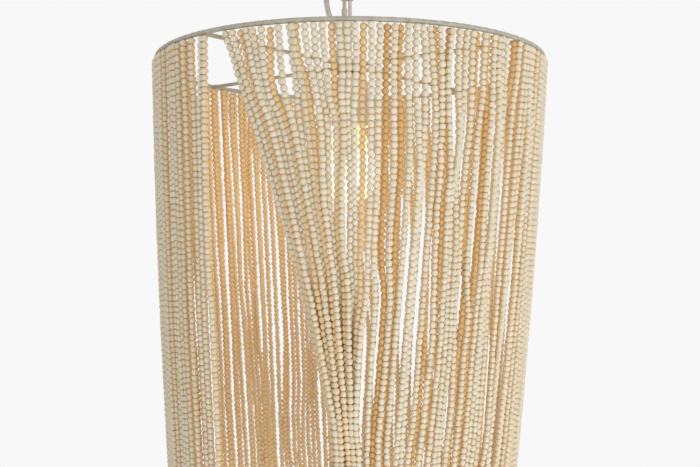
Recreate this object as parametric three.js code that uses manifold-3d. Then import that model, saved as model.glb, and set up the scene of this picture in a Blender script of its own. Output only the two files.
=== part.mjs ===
// Beaded drum pendant: a hoop hung on a cable carries a curtain of bead strands, swept aside at the front.
// Millimetres, +Z up. The origin is the centre of the mounting plate's top face, against the ceiling.
// The front, where the strands are swept aside, faces -Y, and +X is to the right of someone facing it.
import * as THREE from "three";
import { mergeVertices } from "three/addons/utils/BufferGeometryUtils.js";
import Module from "manifold-3d";

const wasm = await Module();
wasm.setup();

// Fits shared by all pieces
const seatGap = 0.3;
const cutOverrun = 2;
const swingClearance = 1.3;

// Mounting plate, a bar with two slots for the ceiling box's screws and a threaded boss below
const plateLength = 104;
const plateWidth = 26;
const plateThickness = 3;
const slotSpacing = 82;
const slotLength = 12;
const slotWidth = 5;
const bossRadius = 5;
const bossLength = 11;

// Canopy
const canopyRadius = 63.5;
const canopyDepth = 27;
const canopyWall = 1.2;
const canopyCorner = 12;

// Hanger nipple with the seat of the cable's ball, and the collar nut that holds the canopy up
const ballRadius = 5;
const ballDepth = 26;
const nippleRadius = 8;
const nippleEnd = 38;
const throatRadius = 3.6;
const mouthRadius = 6;
const collarRadius = 13;
const collarHeight = 7;
const collarChamfer = 1;

// Cord grommet in the canopy's floor, and the terminal block inside the canopy
const grommetOffset = 26.3;
const grommetWall = 1;
const grommetLip = 1.5;
const grommetFlange = 1.6;
const blockLength = 24;
const blockWidth = 14;
const blockHeight = 8;

// Power cord, cables, and what sits on them
const cordRadius = 3;
const cordTopDepth = 19.5;
const cableRadius = 2.1;
const cableSpacing = 6.2;
const sleeveWall = 0.7;
const sleeveLength = 24;
const sleeveHeight = 40;
const clampWall = 1.5;
const clampHeight = 12;
const clampDepth = 42;
const reliefBaseRadius = 5;
const reliefTopRadius = 3.7;
const reliefHeight = 20;
const reliefLeft = 11.5;
const reliefBack = 5.5;

// Hoops and the drum between them
const hoopDrop = 127;
const hoopRadius = 210;
const rodRadius = 2.3;
const drumHeight = 510;
const lowerHoopRadius = 180;
const lowerHoopShift = 9.5;

// Hub, arms and set screw
const hubRadius = 18;
const hubTop = 5;
const hubBottom = 8;
const hubChamfer = 1.5;
const cableSocketDepth = 9;
const armRadius = 2.1;
const screwRadius = 1.4;
const screwLength = 5;
const screwDrop = 4.3;

// Socket: stem, painted cup and lamp holder
const stemRadius = 5;
const stemReach = 6;
const cupRadius = 20.5;
const cupTopDepth = 14;
const cupRimDepth = 67;
const cupWall = 1.2;
const cupCorner = 6;
const holderRecess = 2;
const holderBoreDepth = 28;

// Bulb
const baseRadius = 13;
const baseClearance = 0.6;
const baseLength = 22;
const baseTaper = 2;
const tipRadius = 4;
const tipLength = 2;
const neckRadius = 12.6;
const neckDepth = 63;
const bulbRadius = 30;
const bulbLength = 87.4;

// Bead strands: each solid strand is the square bar that a string of beads fills on average
const strandTopWidth = 5.2;
const strandFootWidth = 4.4;
const threadRadius = 0.55;
const runHeight = 1.2;
const strandStandOff = 2.9;

// Curtain: evenly spaced places round the hoop, from the right of the sweep to the left of the window.
// A strand hangs from each, and those at the inner places hang inside the hoop.
const curtainFromDegrees = 7.3;
const curtainToDegrees = 318.8;
const curtainPanels = 24;
const placesPerPanel = 7;
const innerPlaces = [1, 3];
const twistDegrees = -6.5;
const heldBackDegrees = 8;
const heldBackCentreDegrees = -40;
const heldBackFlatDegrees = 35;
const heldBackReachDegrees = 60;
const besideBundleDegrees = 50;
const besideBundleClearance = 0.9;

// Swept strands: five stacks that gather into one bundle, tied, and run on to the lower hoop
const sweptFromDegrees = -33.6;
const sweptToDegrees = 5.2;
const sweptStacks = 5;
const placesPerStack = 4;
const innerStackPlace = 2;
const stackPitch = 5;
const rowPitch = 5.3;
const hoopSlack = 0.7;
const bundleLeft = 3;
const bundleHoopLeft = 3;
const gatherShare = 0.74;
const sweptRowShares = [0.2, 0.48];
const spreadEndShare = 0.2;
const sweepBowShare = 0.07;
const tieShare = 0.8;
const tieHeight = 12;
const tieWall = 1.5;
const tieClearance = 1;
const tieCorner = 1;

// Facets
const hoopSides = 6;
const hoopSteps = 64;
const roundSides = 20;
const canopySides = 20;
const smallSides = 12;
const cableSides = 8;
const cornerSteps = 3;
const threadSides = 3;
const fullTurnDegrees = 360;

const placeCount = curtainPanels * placesPerPanel;
const curtainPitchDegrees = (curtainToDegrees - curtainFromDegrees) / (placeCount - 1);
const sweptPitchDegrees = (sweptToDegrees - sweptFromDegrees) / (sweptStacks * placesPerStack - 1);
const hoopZ = -hoopDrop;
const lowerZ = hoopZ - drumHeight;
const rodClear = rodRadius + seatGap;
const threadReach = rodClear + threadRadius;

const paint = new THREE.MeshStandardMaterial({ color: 0xc9c7bd, roughness: 0.55, metalness: 0 });
const steel = new THREE.MeshStandardMaterial({ color: 0x9a9a98, roughness: 0.35, metalness: 1 });
const cableSleeve = new THREE.MeshStandardMaterial({ color: 0xc9c5b4, roughness: 0.5, metalness: 0 });
const cordPlastic = new THREE.MeshStandardMaterial({ color: 0xbfc0c6, roughness: 0.45, metalness: 0 });
const darkPlastic = new THREE.MeshStandardMaterial({ color: 0x2c2a28, roughness: 0.6, metalness: 0 });
const porcelain = new THREE.MeshStandardMaterial({ color: 0xe6e2d8, roughness: 0.3, metalness: 0 });
const brass = new THREE.MeshStandardMaterial({ color: 0xb98a3e, roughness: 0.3, metalness: 1 });
const glass = new THREE.MeshStandardMaterial({ color: 0xfff0c4, roughness: 0.2, metalness: 0 });
const beads = new THREE.MeshStandardMaterial({ color: 0xd2c5a6, roughness: 0.7, metalness: 0 });
const thread = new THREE.MeshStandardMaterial({ color: 0xb08a58, roughness: 0.9, metalness: 0 });

const chandelier = new THREE.Group();

// The closed solid of a geometry, with its faces turned outwards.
function solidOf(geometry) {
  const bare = geometry.clone();
  bare.deleteAttribute("normal");
  bare.deleteAttribute("uv");
  const merged = mergeVertices(bare, 1e-4);
  const corners = Uint32Array.from(merged.index.array);
  const places = Float32Array.from(merged.attributes.position.array);
  const make = () => new wasm.Manifold(new wasm.Mesh({ numProp: 3, vertProperties: places, triVerts: corners }));
  const made = make();
  if (made.volume() >= 0) return made;
  for (let i = 0; i < corners.length; i += 3) {
    [corners[i + 1], corners[i + 2]] = [corners[i + 2], corners[i + 1]];
  }
  return make();
}

// The geometry of a solid.
function geometryOf(solid) {
  const mesh = solid.getMesh();
  const geometry = new THREE.BufferGeometry();
  geometry.setAttribute("position", new THREE.BufferAttribute(mesh.vertProperties, 3));
  geometry.setIndex(new THREE.BufferAttribute(mesh.triVerts, 1));
  return geometry;
}

// Adds one named piece to the chandelier.
function addPiece(name, material, solid) {
  const mesh = new THREE.Mesh(geometryOf(solid), material);
  mesh.name = name;
  chandelier.add(mesh);
  return mesh;
}

// A body turned about the Z axis from a profile of [radius, z] points.
function turned(profile, sides, x = 0, y = 0) {
  const points = profile.map(([radius, z]) => new THREE.Vector2(radius, z));
  const geometry = new THREE.LatheGeometry(points, sides);
  geometry.rotateX(Math.PI / 2);
  geometry.translate(x, y, 0);
  return solidOf(geometry);
}

// A turned ring, whose profile closes on itself.
function ring(profile, sides, x = 0, y = 0) {
  return turned([...profile, profile[0]], sides, x, y);
}

// An upright cylinder from one height to another.
function post(radius, low, high, sides, x = 0, y = 0) {
  return turned([[0, low], [radius, low], [radius, high], [0, high]], sides, x, y);
}

// Points of a quarter round, from one angle to another about a centre, in a profile.
function quarter(centreRadius, centreZ, radius, fromDegrees, toDegrees) {
  return Array.from({ length: cornerSteps + 1 }, (_, i) => {
    const angle = THREE.MathUtils.degToRad(THREE.MathUtils.lerp(fromDegrees, toDegrees, i / cornerSteps));
    return [centreRadius + radius * Math.cos(angle), centreZ + radius * Math.sin(angle)];
  });
}

// A closed skin over rings of points, each ring with as many points as the next.
function loft(rings) {
  const sides = rings[0].length;
  const index = [];
  for (let r = 0; r + 1 < rings.length; r++) {
    for (let s = 0; s < sides; s++) {
      const a = r * sides + s;
      const b = r * sides + ((s + 1) % sides);
      index.push(a, b, b + sides, a, b + sides, a + sides);
    }
  }
  const last = (rings.length - 1) * sides;
  for (let s = 1; s + 1 < sides; s++) {
    index.push(0, s + 1, s, last, last + s, last + s + 1);
  }
  const geometry = new THREE.BufferGeometry();
  const places = rings.flat().flatMap((p) => [p.x, p.y, p.z]);
  geometry.setAttribute("position", new THREE.Float32BufferAttribute(places, 3));
  geometry.setIndex(index);
  return solidOf(geometry);
}

// A round bar along a curve through points.
function cable(points, radius, steps) {
  const section = new THREE.Shape();
  for (let i = 0; i < cableSides; i++) {
    const angle = (2 * Math.PI * i) / cableSides;
    const place = [radius * Math.cos(angle), radius * Math.sin(angle)];
    if (i === 0) section.moveTo(...place);
    else section.lineTo(...place);
  }
  const extrudePath = new THREE.CatmullRomCurve3(points);
  return solidOf(new THREE.ExtrudeGeometry(section, { steps, extrudePath, bevelEnabled: false }));
}

// Mounting plate

// A bar with round ends, or a slot, as a flat outline centred on (x, y).
function roundEnded(outline, length, width, x, y) {
  const radius = width / 2;
  const straight = length / 2 - radius;
  outline.absarc(x + straight, y, radius, -Math.PI / 2, Math.PI / 2);
  outline.absarc(x - straight, y, radius, Math.PI / 2, (3 * Math.PI) / 2);
  outline.closePath();
  return outline;
}

function mountingPlate() {
  const outline = roundEnded(new THREE.Shape(), plateLength, plateWidth, 0, 0);
  for (const side of [-1, 1]) {
    outline.holes.push(roundEnded(new THREE.Path(), slotLength, slotWidth, (side * slotSpacing) / 2, 0));
  }
  const settings = { depth: plateThickness, bevelEnabled: false, curveSegments: cornerSteps * 2 };
  const bar = new THREE.ExtrudeGeometry(outline, settings);
  bar.translate(0, 0, -plateThickness);
  const boss = post(bossRadius, -plateThickness - bossLength, -plateThickness / 2, roundSides);
  return solidOf(bar).add(boss);
}

addPiece("mounting_plate", steel, mountingPlate());

// Canopy, a pressed dish that hides the plate, with a hole for the nipple and one for the grommet
const grommetBore = cordRadius + swingClearance;
const grommetNeck = grommetBore + grommetWall;

function canopyShell() {
  const floor = -canopyDepth;
  const centre = canopyRadius - canopyCorner;
  const hole = nippleRadius + seatGap;
  const dish = ring([
    [canopyRadius, 0],
    ...quarter(centre, floor + canopyCorner, canopyCorner, 0, -90),
    [hole, floor],
    [hole, floor + canopyWall],
    ...quarter(centre, floor + canopyCorner, canopyCorner - canopyWall, -90, 0),
    [canopyRadius - canopyWall, 0],
  ], canopySides);
  const low = floor - cutOverrun;
  const high = floor + canopyWall + cutOverrun;
  return dish.subtract(post(grommetNeck + seatGap, low, high, smallSides, -grommetOffset));
}

addPiece("canopy_shell", paint, canopyShell());

// Hanger nipple: threads onto the plate's boss, and its lower end seats the ball and flares for the swing
function hangerNipple() {
  const bore = bossRadius + seatGap;
  const seat = ballRadius + seatGap;
  const ballZ = -ballDepth;
  const throatAngle = Math.acos(throatRadius / seat);
  const seatMiddle = throatAngle / 2;
  return ring([
    [bore, -plateThickness - seatGap],
    [nippleRadius, -plateThickness - seatGap],
    [nippleRadius, -nippleEnd],
    [mouthRadius, -nippleEnd],
    [throatRadius, ballZ - seat * Math.sin(throatAngle)],
    [seat * Math.cos(seatMiddle), ballZ - seat * Math.sin(seatMiddle)],
    [seat, ballZ],
  ], roundSides);
}

addPiece("hanger_nipple", steel, hangerNipple());

function collarNut() {
  const top = -canopyDepth - seatGap;
  const bottom = top - collarHeight;
  const bore = nippleRadius + seatGap;
  return ring([
    [bore, top],
    [collarRadius, top],
    [collarRadius, bottom + collarChamfer],
    [collarRadius - collarChamfer, bottom],
    [bore, bottom],
  ], roundSides);
}

addPiece("collar_nut", paint, collarNut());

function cordGrommet() {
  const floor = -canopyDepth;
  const upper = floor + canopyWall + seatGap;
  const lower = floor - seatGap;
  return ring([
    [grommetBore, upper + grommetLip],
    [grommetNeck + grommetFlange, upper + grommetLip],
    [grommetNeck + grommetFlange, upper],
    [grommetNeck, upper],
    [grommetNeck, lower],
    [grommetNeck + grommetFlange, lower],
    [grommetNeck + grommetFlange, lower - grommetLip],
    [grommetBore, lower - grommetLip],
  ], smallSides, -grommetOffset);
}

addPiece("cord_grommet", darkPlastic, cordGrommet());

function terminalBlock() {
  const block = new THREE.BoxGeometry(blockLength, blockWidth, blockHeight);
  block.translate(-grommetOffset, 0, -plateThickness - seatGap - blockHeight / 2);
  return solidOf(block);
}

addPiece("terminal_block", porcelain, terminalBlock());

// Cables and cord

function cableBall() {
  const ball = new THREE.SphereGeometry(ballRadius, smallSides, cableSides);
  ball.rotateX(Math.PI / 2);
  ball.translate(0, 0, -ballDepth);
  return solidOf(ball);
}

addPiece("cable_ball", steel, cableBall());

const hubTopZ = hoopZ + hubTop;
const hubBottomZ = hoopZ - hubBottom;
const cableFoot = hubTopZ - cableSocketDepth + seatGap;
const cableHead = -ballDepth - ballRadius - seatGap;
const clampTop = -clampDepth;

addPiece("suspension_cable", steel, post(cableRadius, cableFoot, cableHead, cableSides));
addPiece("safety_cable", cableSleeve, post(cableRadius, cableFoot, clampTop, cableSides, -cableSpacing));

function safetySleeve() {
  const bore = cableRadius + seatGap;
  const low = hoopZ + sleeveHeight;
  const high = low + sleeveLength;
  return ring([
    [bore, low],
    [bore + sleeveWall, low],
    [bore + sleeveWall, high],
    [bore, high],
  ], smallSides, -cableSpacing);
}

addPiece("safety_sleeve", cableSleeve, safetySleeve());

function cableClamp() {
  const bore = cableRadius + seatGap;
  const width = 2 * (bore + clampWall);
  const middle = -cableSpacing / 2;
  const outline = roundEnded(new THREE.Shape(), cableSpacing + width, width, middle, 0);
  const settings = { depth: clampHeight, bevelEnabled: false, curveSegments: cornerSteps * 2 };
  const block = new THREE.ExtrudeGeometry(outline, settings);
  block.translate(0, 0, clampTop - clampHeight);
  const low = clampTop - clampHeight - cutOverrun;
  const high = clampTop + cutOverrun;
  const holes = [0, -cableSpacing].map((x) => post(bore, low, high, smallSides, x));
  return solidOf(block).subtract(holes[0]).subtract(holes[1]);
}

addPiece("cable_clamp", steel, cableClamp());

function strainRelief() {
  return turned([
    [0, hubTopZ + seatGap],
    [reliefBaseRadius, hubTopZ + seatGap],
    [reliefTopRadius, hubTopZ + reliefHeight],
    [0, hubTopZ + reliefHeight],
  ], smallSides, -reliefLeft, reliefBack);
}

addPiece("strain_relief", cordPlastic, strainRelief());

// The power cord's route, from the strain relief at the hub up to its end inside the canopy
const cordRoute = [
  [-reliefLeft, reliefBack, hubTopZ + reliefHeight + seatGap],
  [-11.5, 5.5, -98],
  [-11.9, 5.3, -94.5],
  [-12.9, 5.0, -91],
  [-14.3, 4.5, -87.5],
  [-16.1, 3.9, -84],
  [-18.0, 3.2, -80.5],
  [-19.9, 2.5, -77],
  [-21.6, 1.8, -73.5],
  [-23.1, 1.2, -69.5],
  [-24.4, 0.7, -65],
  [-25.3, 0.3, -60.5],
  [-25.9, 0.1, -56],
  [-26.2, 0, -51],
  [-26.3, 0, -46],
  [-26.3, 0, -40],
  [-26.3, 0, -33],
  [-grommetOffset, 0, -cordTopDepth],
];
const cordSteps = 22;
const cordPoints = cordRoute.map((place) => new THREE.Vector3(...place));

addPiece("power_cord", cordPlastic, cable(cordPoints, cordRadius, cordSteps));

// Hub: a turned boss with sockets for both cables and a cross hole for the set screw
const screwDegrees = -44;

// The place at an angle from the front, in degrees to the right, and a distance from the Z axis.
function polar(degrees, radius, z) {
  const angle = THREE.MathUtils.degToRad(degrees);
  return new THREE.Vector3(radius * Math.sin(angle), -radius * Math.cos(angle), z);
}

// A round rod that points away from the Z axis, from one distance to another.
function spoke(degrees, from, to, radius, z, sides) {
  const rod = new THREE.CylinderGeometry(radius, radius, to - from, sides);
  rod.translate(0, -(from + to) / 2, 0);
  rod.rotateZ(THREE.MathUtils.degToRad(degrees));
  rod.translate(0, 0, z);
  return solidOf(rod);
}

function hub() {
  const body = turned([
    [0, hubBottomZ],
    [hubRadius - hubChamfer, hubBottomZ],
    [hubRadius, hubBottomZ + hubChamfer],
    [hubRadius, hubTopZ - hubChamfer],
    [hubRadius - hubChamfer, hubTopZ],
    [0, hubTopZ],
  ], roundSides);
  const low = hubTopZ - cableSocketDepth;
  const high = hubTopZ + cutOverrun;
  const sockets = [0, -cableSpacing].map((x) => post(cableRadius + seatGap, low, high, cableSides, x));
  const bottom = hubRadius - screwLength - seatGap;
  const hole = spoke(screwDegrees, bottom, hubRadius + cutOverrun, screwRadius + seatGap, hoopZ - screwDrop, cableSides);
  return body.subtract(sockets[0]).subtract(sockets[1]).subtract(hole);
}

addPiece("hub", paint, hub());

const screw = spoke(screwDegrees, hubRadius - screwLength, hubRadius, screwRadius, hoopZ - screwDrop, cableSides);
addPiece("set_screw", darkPlastic, screw);

// Hoops and arms

function hoop(radius, x, z) {
  const torus = new THREE.TorusGeometry(radius, rodRadius, hoopSides, hoopSteps);
  torus.translate(x, 0, z);
  return solidOf(torus);
}

addPiece("top_hoop", paint, hoop(hoopRadius, 0, hoopZ));
addPiece("lower_hoop", paint, hoop(lowerHoopRadius, -lowerHoopShift, lowerZ));

// The angle from the front of a place of the curtain, counted to the right from the first.
const placeAt = (place) => curtainFromDegrees + curtainPitchDegrees * place;

// Each arm meets the hoop at or midway between the places of outer strands, clear of threads that cross the hoop.
const armPlaces = { front_left: 166.5, front_right: 25, back_right: 70, back_left: 121 };
for (const [side, place] of Object.entries(armPlaces)) {
  const degrees = placeAt(place);
  const from = hubRadius + seatGap;
  const to = hoopRadius - rodClear;
  addPiece(`arm_${side}`, paint, spoke(degrees, from, to, armRadius, hoopZ, cableSides));
}

// Socket

const stemTop = hubBottomZ - seatGap;
const cupTopZ = hoopZ - cupTopDepth;
const cupRimZ = hoopZ - cupRimDepth;
const holderTop = cupTopZ - cupWall - seatGap;
const stemFoot = holderTop - stemReach;

addPiece("socket_stem", steel, post(stemRadius, stemFoot, stemTop, smallSides));

function socketCup() {
  const centre = cupRadius - cupCorner;
  const hole = stemRadius + seatGap;
  return ring([
    [hole, cupTopZ],
    ...quarter(centre, cupTopZ - cupCorner, cupCorner, 90, 0),
    [cupRadius, cupRimZ],
    [cupRadius - cupWall, cupRimZ],
    ...quarter(centre, cupTopZ - cupCorner, cupCorner - cupWall, 0, 90),
    [hole, cupTopZ - cupWall],
  ], roundSides);
}

addPiece("socket_cup", paint, socketCup());

function lampHolder() {
  const outer = cupRadius - cupWall - seatGap;
  const rim = cupRimZ + holderRecess;
  const bore = baseRadius + baseClearance;
  const shoulder = outer - cupCorner + cupWall;
  return turned([
    [0, stemFoot - seatGap],
    [stemRadius + seatGap, stemFoot - seatGap],
    [stemRadius + seatGap, holderTop],
    [shoulder, holderTop],
    [outer, holderTop - cupCorner],
    [outer, rim],
    [bore, rim],
    [bore, rim + holderBoreDepth],
    [0, rim + holderBoreDepth],
  ], roundSides);
}

addPiece("lamp_holder", porcelain, lampHolder());

// Bulb

const neckZ = hoopZ - neckDepth;

function bulbBase() {
  const low = neckZ + seatGap;
  const shoulder = low + baseLength;
  return turned([
    [0, low],
    [baseRadius, low],
    [baseRadius, shoulder - baseTaper],
    [baseRadius - baseTaper, shoulder],
    [tipRadius, shoulder],
    [tipRadius, shoulder + tipLength],
    [0, shoulder + tipLength],
  ], roundSides);
}

addPiece("bulb_base", brass, bulbBase());

// The glass envelope, as shares of its radius and length from the neck down
const bulbRadiusShares = [0.45, 0.56, 0.72, 0.88, 0.98, 1, 0.965, 0.865, 0.68, 0.4];
const bulbDepthShares = [0.05, 0.14, 0.25, 0.37, 0.5, 0.61, 0.73, 0.835, 0.925, 0.982];

function bulbGlass() {
  const flanks = bulbRadiusShares.map((share, i) => [bulbRadius * share, neckZ - bulbLength * bulbDepthShares[i]]);
  return turned([[0, neckZ], [neckRadius, neckZ], ...flanks, [0, neckZ - bulbLength]], roundSides);
}

addPiece("bulb_glass", glass, bulbGlass());

// Bead strands

const heightAt = (share) => hoopZ - drumHeight * share;
const drumRadiusAt = (share) => THREE.MathUtils.lerp(hoopRadius, lowerHoopRadius, share);
const strandWidthAt = (share) => THREE.MathUtils.lerp(strandTopWidth, strandFootWidth, share);


// The first curtain strand reaches the lower hoop just to the right of the bundle.
const bundleEdge = ((sweptStacks - 1) / 2) * stackPitch + strandFootWidth / 2 - bundleHoopLeft;
const firstFootX = bundleEdge + besideBundleClearance + strandFootWidth / 2;
const firstFootSine = (firstFootX + lowerHoopShift) / (lowerHoopRadius + strandStandOff);
const firstTwistDegrees = THREE.MathUtils.radToDeg(Math.asin(firstFootSine)) - curtainFromDegrees;

// How far the strand that starts at an angle has turned by the lower hoop. Beside the window the strands are
// held back, and the turn grows from that of the first strand over those next to the bundle.
function twistAt(degrees) {
  const turn = THREE.MathUtils.euclideanModulo(degrees - heldBackCentreDegrees, fullTurnDegrees);
  const away = Math.min(turn, fullTurnDegrees - turn);
  const held = 1 - THREE.MathUtils.smoothstep(away, heldBackFlatDegrees, heldBackReachDegrees);
  const general = twistDegrees + heldBackDegrees * held;
  const free = THREE.MathUtils.smoothstep(degrees - curtainFromDegrees, 0, besideBundleDegrees);
  return THREE.MathUtils.lerp(firstTwistDegrees, general, free);
}

// A point of the curtain: where the strand of an angle is at a share of the drop, off the drum's own surface.
function curtainPoint(degrees, share, standOff) {
  const point = polar(degrees + twistAt(degrees) * share, drumRadiusAt(share) + standOff, heightAt(share));
  point.x -= lowerHoopShift * share;
  return point;
}

const topShare = rodClear / drumHeight;
const footShare = 1 - topShare;
const runShare = runHeight / drumHeight;

// A square bar through the centres given. At each centre its faces look out at an angle from the front, and its
// width is that of a strand at a share of the drop.
function bar(centres, facings, shares) {
  return loft(centres.map((centre, i) => {
    const half = strandWidthAt(shares[i]) / 2;
    const out = polar(facings[i], half, 0);
    const along = polar(facings[i] + 90, half, 0);
    return [[1, 1], [-1, 1], [-1, -1], [1, -1]].map(([a, b]) => (
      centre.clone().addScaledVector(out, a).addScaledVector(along, b)
    ));
  }));
}

// A thread round the outside of a hoop's rod, from the end of an outer strand to that of the inner one beside it.
// side is 1 over the top hoop and -1 under the lower one. place gives the point at (degrees, stand-off, z).
function threadOver(place, outerDegrees, innerDegrees, side) {
  const corner = threadReach / Math.cos(Math.PI / 4);
  const foot = -rodClear - runHeight / 2;
  const rings = [
    { radial: threadReach, z: foot, reach: 0, angle: 0 },
    { radial: 0, z: 0, reach: corner, angle: Math.PI / 4 },
    { radial: 0, z: 0, reach: corner, angle: (3 * Math.PI) / 4 },
    { radial: -threadReach, z: foot, reach: 0, angle: Math.PI },
  ];
  return loft(rings.map(({ radial, z, reach, angle }, i) => {
    const degrees = THREE.MathUtils.lerp(outerDegrees, innerDegrees, i / (rings.length - 1));
    const along = polar(degrees + 90, 1, 0);
    return Array.from({ length: threadSides }, (_, k) => {
      const round = (2 * Math.PI * k) / threadSides;
      const out = reach + threadRadius * Math.cos(round);
      const centre = place(degrees, radial + out * Math.cos(angle), side * (z + out * Math.sin(angle)));
      return centre.addScaledVector(along, threadRadius * Math.sin(round));
    });
  }));
}

const overTopHoop = (degrees, standOff, z) => polar(degrees, hoopRadius + standOff, hoopZ + z);

function underLowerHoop(degrees, standOff, z) {
  const point = polar(degrees, lowerHoopRadius + standOff, lowerZ + z);
  point.x -= lowerHoopShift;
  return point;
}

// The inner strand of a place, with the threads that join it over the top hoop and under the lower one to the
// outer strand of the next place.
function innerStrand(place) {
  const shares = [topShare, footShare];
  const degrees = placeAt(place);
  const nextDegrees = placeAt(place + 1);
  const footDegrees = degrees + twistAt(degrees);
  const nextFootDegrees = nextDegrees + twistAt(nextDegrees);
  const centres = shares.map((share) => curtainPoint(degrees, share, -strandStandOff));
  return bar(centres, [degrees, footDegrees], shares)
    .add(threadOver(overTopHoop, nextDegrees, degrees, 1))
    .add(threadOver(underLowerHoop, nextFootDegrees, footDegrees, -1));
}

// A slab made of the cells of a grid that are solid. place gives the point of a column, a row and a layer.
function slab(columns, rows, isSolid, place) {
  const index = [];
  const spot = (c, r, layer) => (layer * rows + r) * columns + c;
  const quad = (a, b, c, d) => index.push(a, b, c, a, c, d);
  const wall = (c1, r1, c2, r2) => quad(spot(c1, r1, 0), spot(c1, r1, 1), spot(c2, r2, 1), spot(c2, r2, 0));
  for (let c = 0; c + 1 < columns; c++) {
    for (let r = 0; r + 1 < rows; r++) {
      if (!isSolid(c, r)) continue;
      quad(spot(c, r, 0), spot(c + 1, r, 0), spot(c + 1, r + 1, 0), spot(c, r + 1, 0));
      quad(spot(c, r, 1), spot(c, r + 1, 1), spot(c + 1, r + 1, 1), spot(c + 1, r, 1));
      if (!isSolid(c, r - 1)) wall(c, r, c + 1, r);
      if (!isSolid(c + 1, r)) wall(c + 1, r, c + 1, r + 1);
      if (!isSolid(c, r + 1)) wall(c + 1, r + 1, c, r + 1);
      if (!isSolid(c - 1, r)) wall(c, r + 1, c, r);
    }
  }
  const places = [0, 1].flatMap((layer) => Array.from({ length: rows * columns }, (_, i) => (
    place(i % columns, Math.floor(i / columns), layer).toArray()
  )));
  const geometry = new THREE.BufferGeometry();
  geometry.setAttribute("position", new THREE.Float32BufferAttribute(places.flat(), 3));
  geometry.setIndex(index);
  return solidOf(geometry);
}

// The strands of outer places side by side, hung on a run of thread along the top hoop.
function outerStrands(places) {
  const shares = [topShare, topShare + runShare, footShare];
  const columns = places.flatMap((place) => [-1, 1].map((side) => ({ place, side })));
  const isSolid = (c, r) => {
    if (c < 0 || r < 0 || c + 1 >= columns.length || r + 1 >= shares.length) return false;
    const isStrand = c % 2 === 0;
    const isRun = r === 0;
    return isStrand || isRun;
  };
  return slab(columns.length, shares.length, isSolid, (c, r, layer) => {
    const { place, side } = columns[c];
    const degrees = placeAt(place);
    const half = strandWidthAt(shares[r]) / 2;
    const standOff = strandStandOff + (layer === 0 ? -half : half);
    const centre = curtainPoint(degrees, shares[r], standOff);
    return centre.addScaledVector(polar(degrees + twistAt(degrees) * shares[r] + 90, 1, 0), side * half);
  });
}

for (let p = 0; p < curtainPanels; p++) {
  const first = p * placesPerPanel;
  const places = Array.from({ length: placesPerPanel }, (_, i) => first + i);
  const isInner = (place) => innerPlaces.includes(place - first);
  let panel = outerStrands(places.filter((place) => !isInner(place)));
  for (const place of places.filter(isInner)) {
    panel = panel.add(innerStrand(place));
  }
  addPiece(`bead_curtain_${String(p + 1).padStart(2, "0")}`, beads, panel);
}

// Swept strands

// The centre of a swept strand at a share of the drop: it leaves the hoop at its angle, crosses to its stack in
// the bundle while it moves out to its row there, and runs on to the lower hoop.
function sweptPoint(degrees, startStandOff, stack, row, share) {
  const start = polar(degrees, hoopRadius + startStandOff, 0);
  const middle = (sweptStacks - 1) / 2;
  const goal = -bundleLeft + (stack - middle) * stackPitch;
  const goalRadius = drumRadiusAt(gatherShare);
  if (share <= gatherShare) {
    const across = share / gatherShare;
    const bowed = across + sweepBowShare * Math.sin(Math.PI * across);
    const spread = Math.min(1, share / spreadEndShare);
    const x = THREE.MathUtils.lerp(start.x, goal, bowed);
    const y = THREE.MathUtils.lerp(start.y, -goalRadius, across) - row * spread;
    return new THREE.Vector3(x, y, heightAt(share));
  }
  const beyond = (share - gatherShare) / (1 - gatherShare);
  const x = goal - (bundleHoopLeft - bundleLeft) * beyond;
  const y = -THREE.MathUtils.lerp(goalRadius, lowerHoopRadius, beyond) - row;
  return new THREE.Vector3(x, y, heightAt(share));
}

// How far out of the drum each row of the bundle lies: half of them outside the hoop's rod, half inside.
const firstRow = rodClear + hoopSlack + strandTopWidth / 2;

function rowOffset(row) {
  const half = placesPerStack / 2;
  if (row < half) return firstRow + (half - 1 - row) * rowPitch;
  return -firstRow - (row - half) * rowPitch;
}

// A short run of thread along the top hoop, across the strands of one stack.
function threadRun(fromDegrees, toDegrees) {
  const half = strandTopWidth / 2;
  const angles = [fromDegrees, (fromDegrees + toDegrees) / 2, toDegrees];
  const top = hoopZ - rodClear;
  return loft(angles.map((angle) => [
    polar(angle, hoopRadius + strandStandOff + half, top),
    polar(angle, hoopRadius + strandStandOff - half, top),
    polar(angle, hoopRadius + strandStandOff - half, top - runHeight),
    polar(angle, hoopRadius + strandStandOff + half, top - runHeight),
  ]));
}

// A run of thread under the lower hoop, from the outermost row of a stack to the innermost.
function threadUnder(stack) {
  const centre = sweptPoint(0, 0, stack, 0, 1);
  const half = strandFootWidth / 2;
  const low = lowerZ - rodClear - runHeight;
  const high = lowerZ - rodClear;
  const corners = [[-threadRadius, high], [threadRadius, high], [threadRadius, low], [-threadRadius, low]];
  const ends = [rowOffset(0) + half, rowOffset(placesPerStack - 1) - half];
  return loft(ends.map((offset) => corners.map(([x, z]) => new THREE.Vector3(centre.x + x, centre.y - offset, z))));
}

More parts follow.
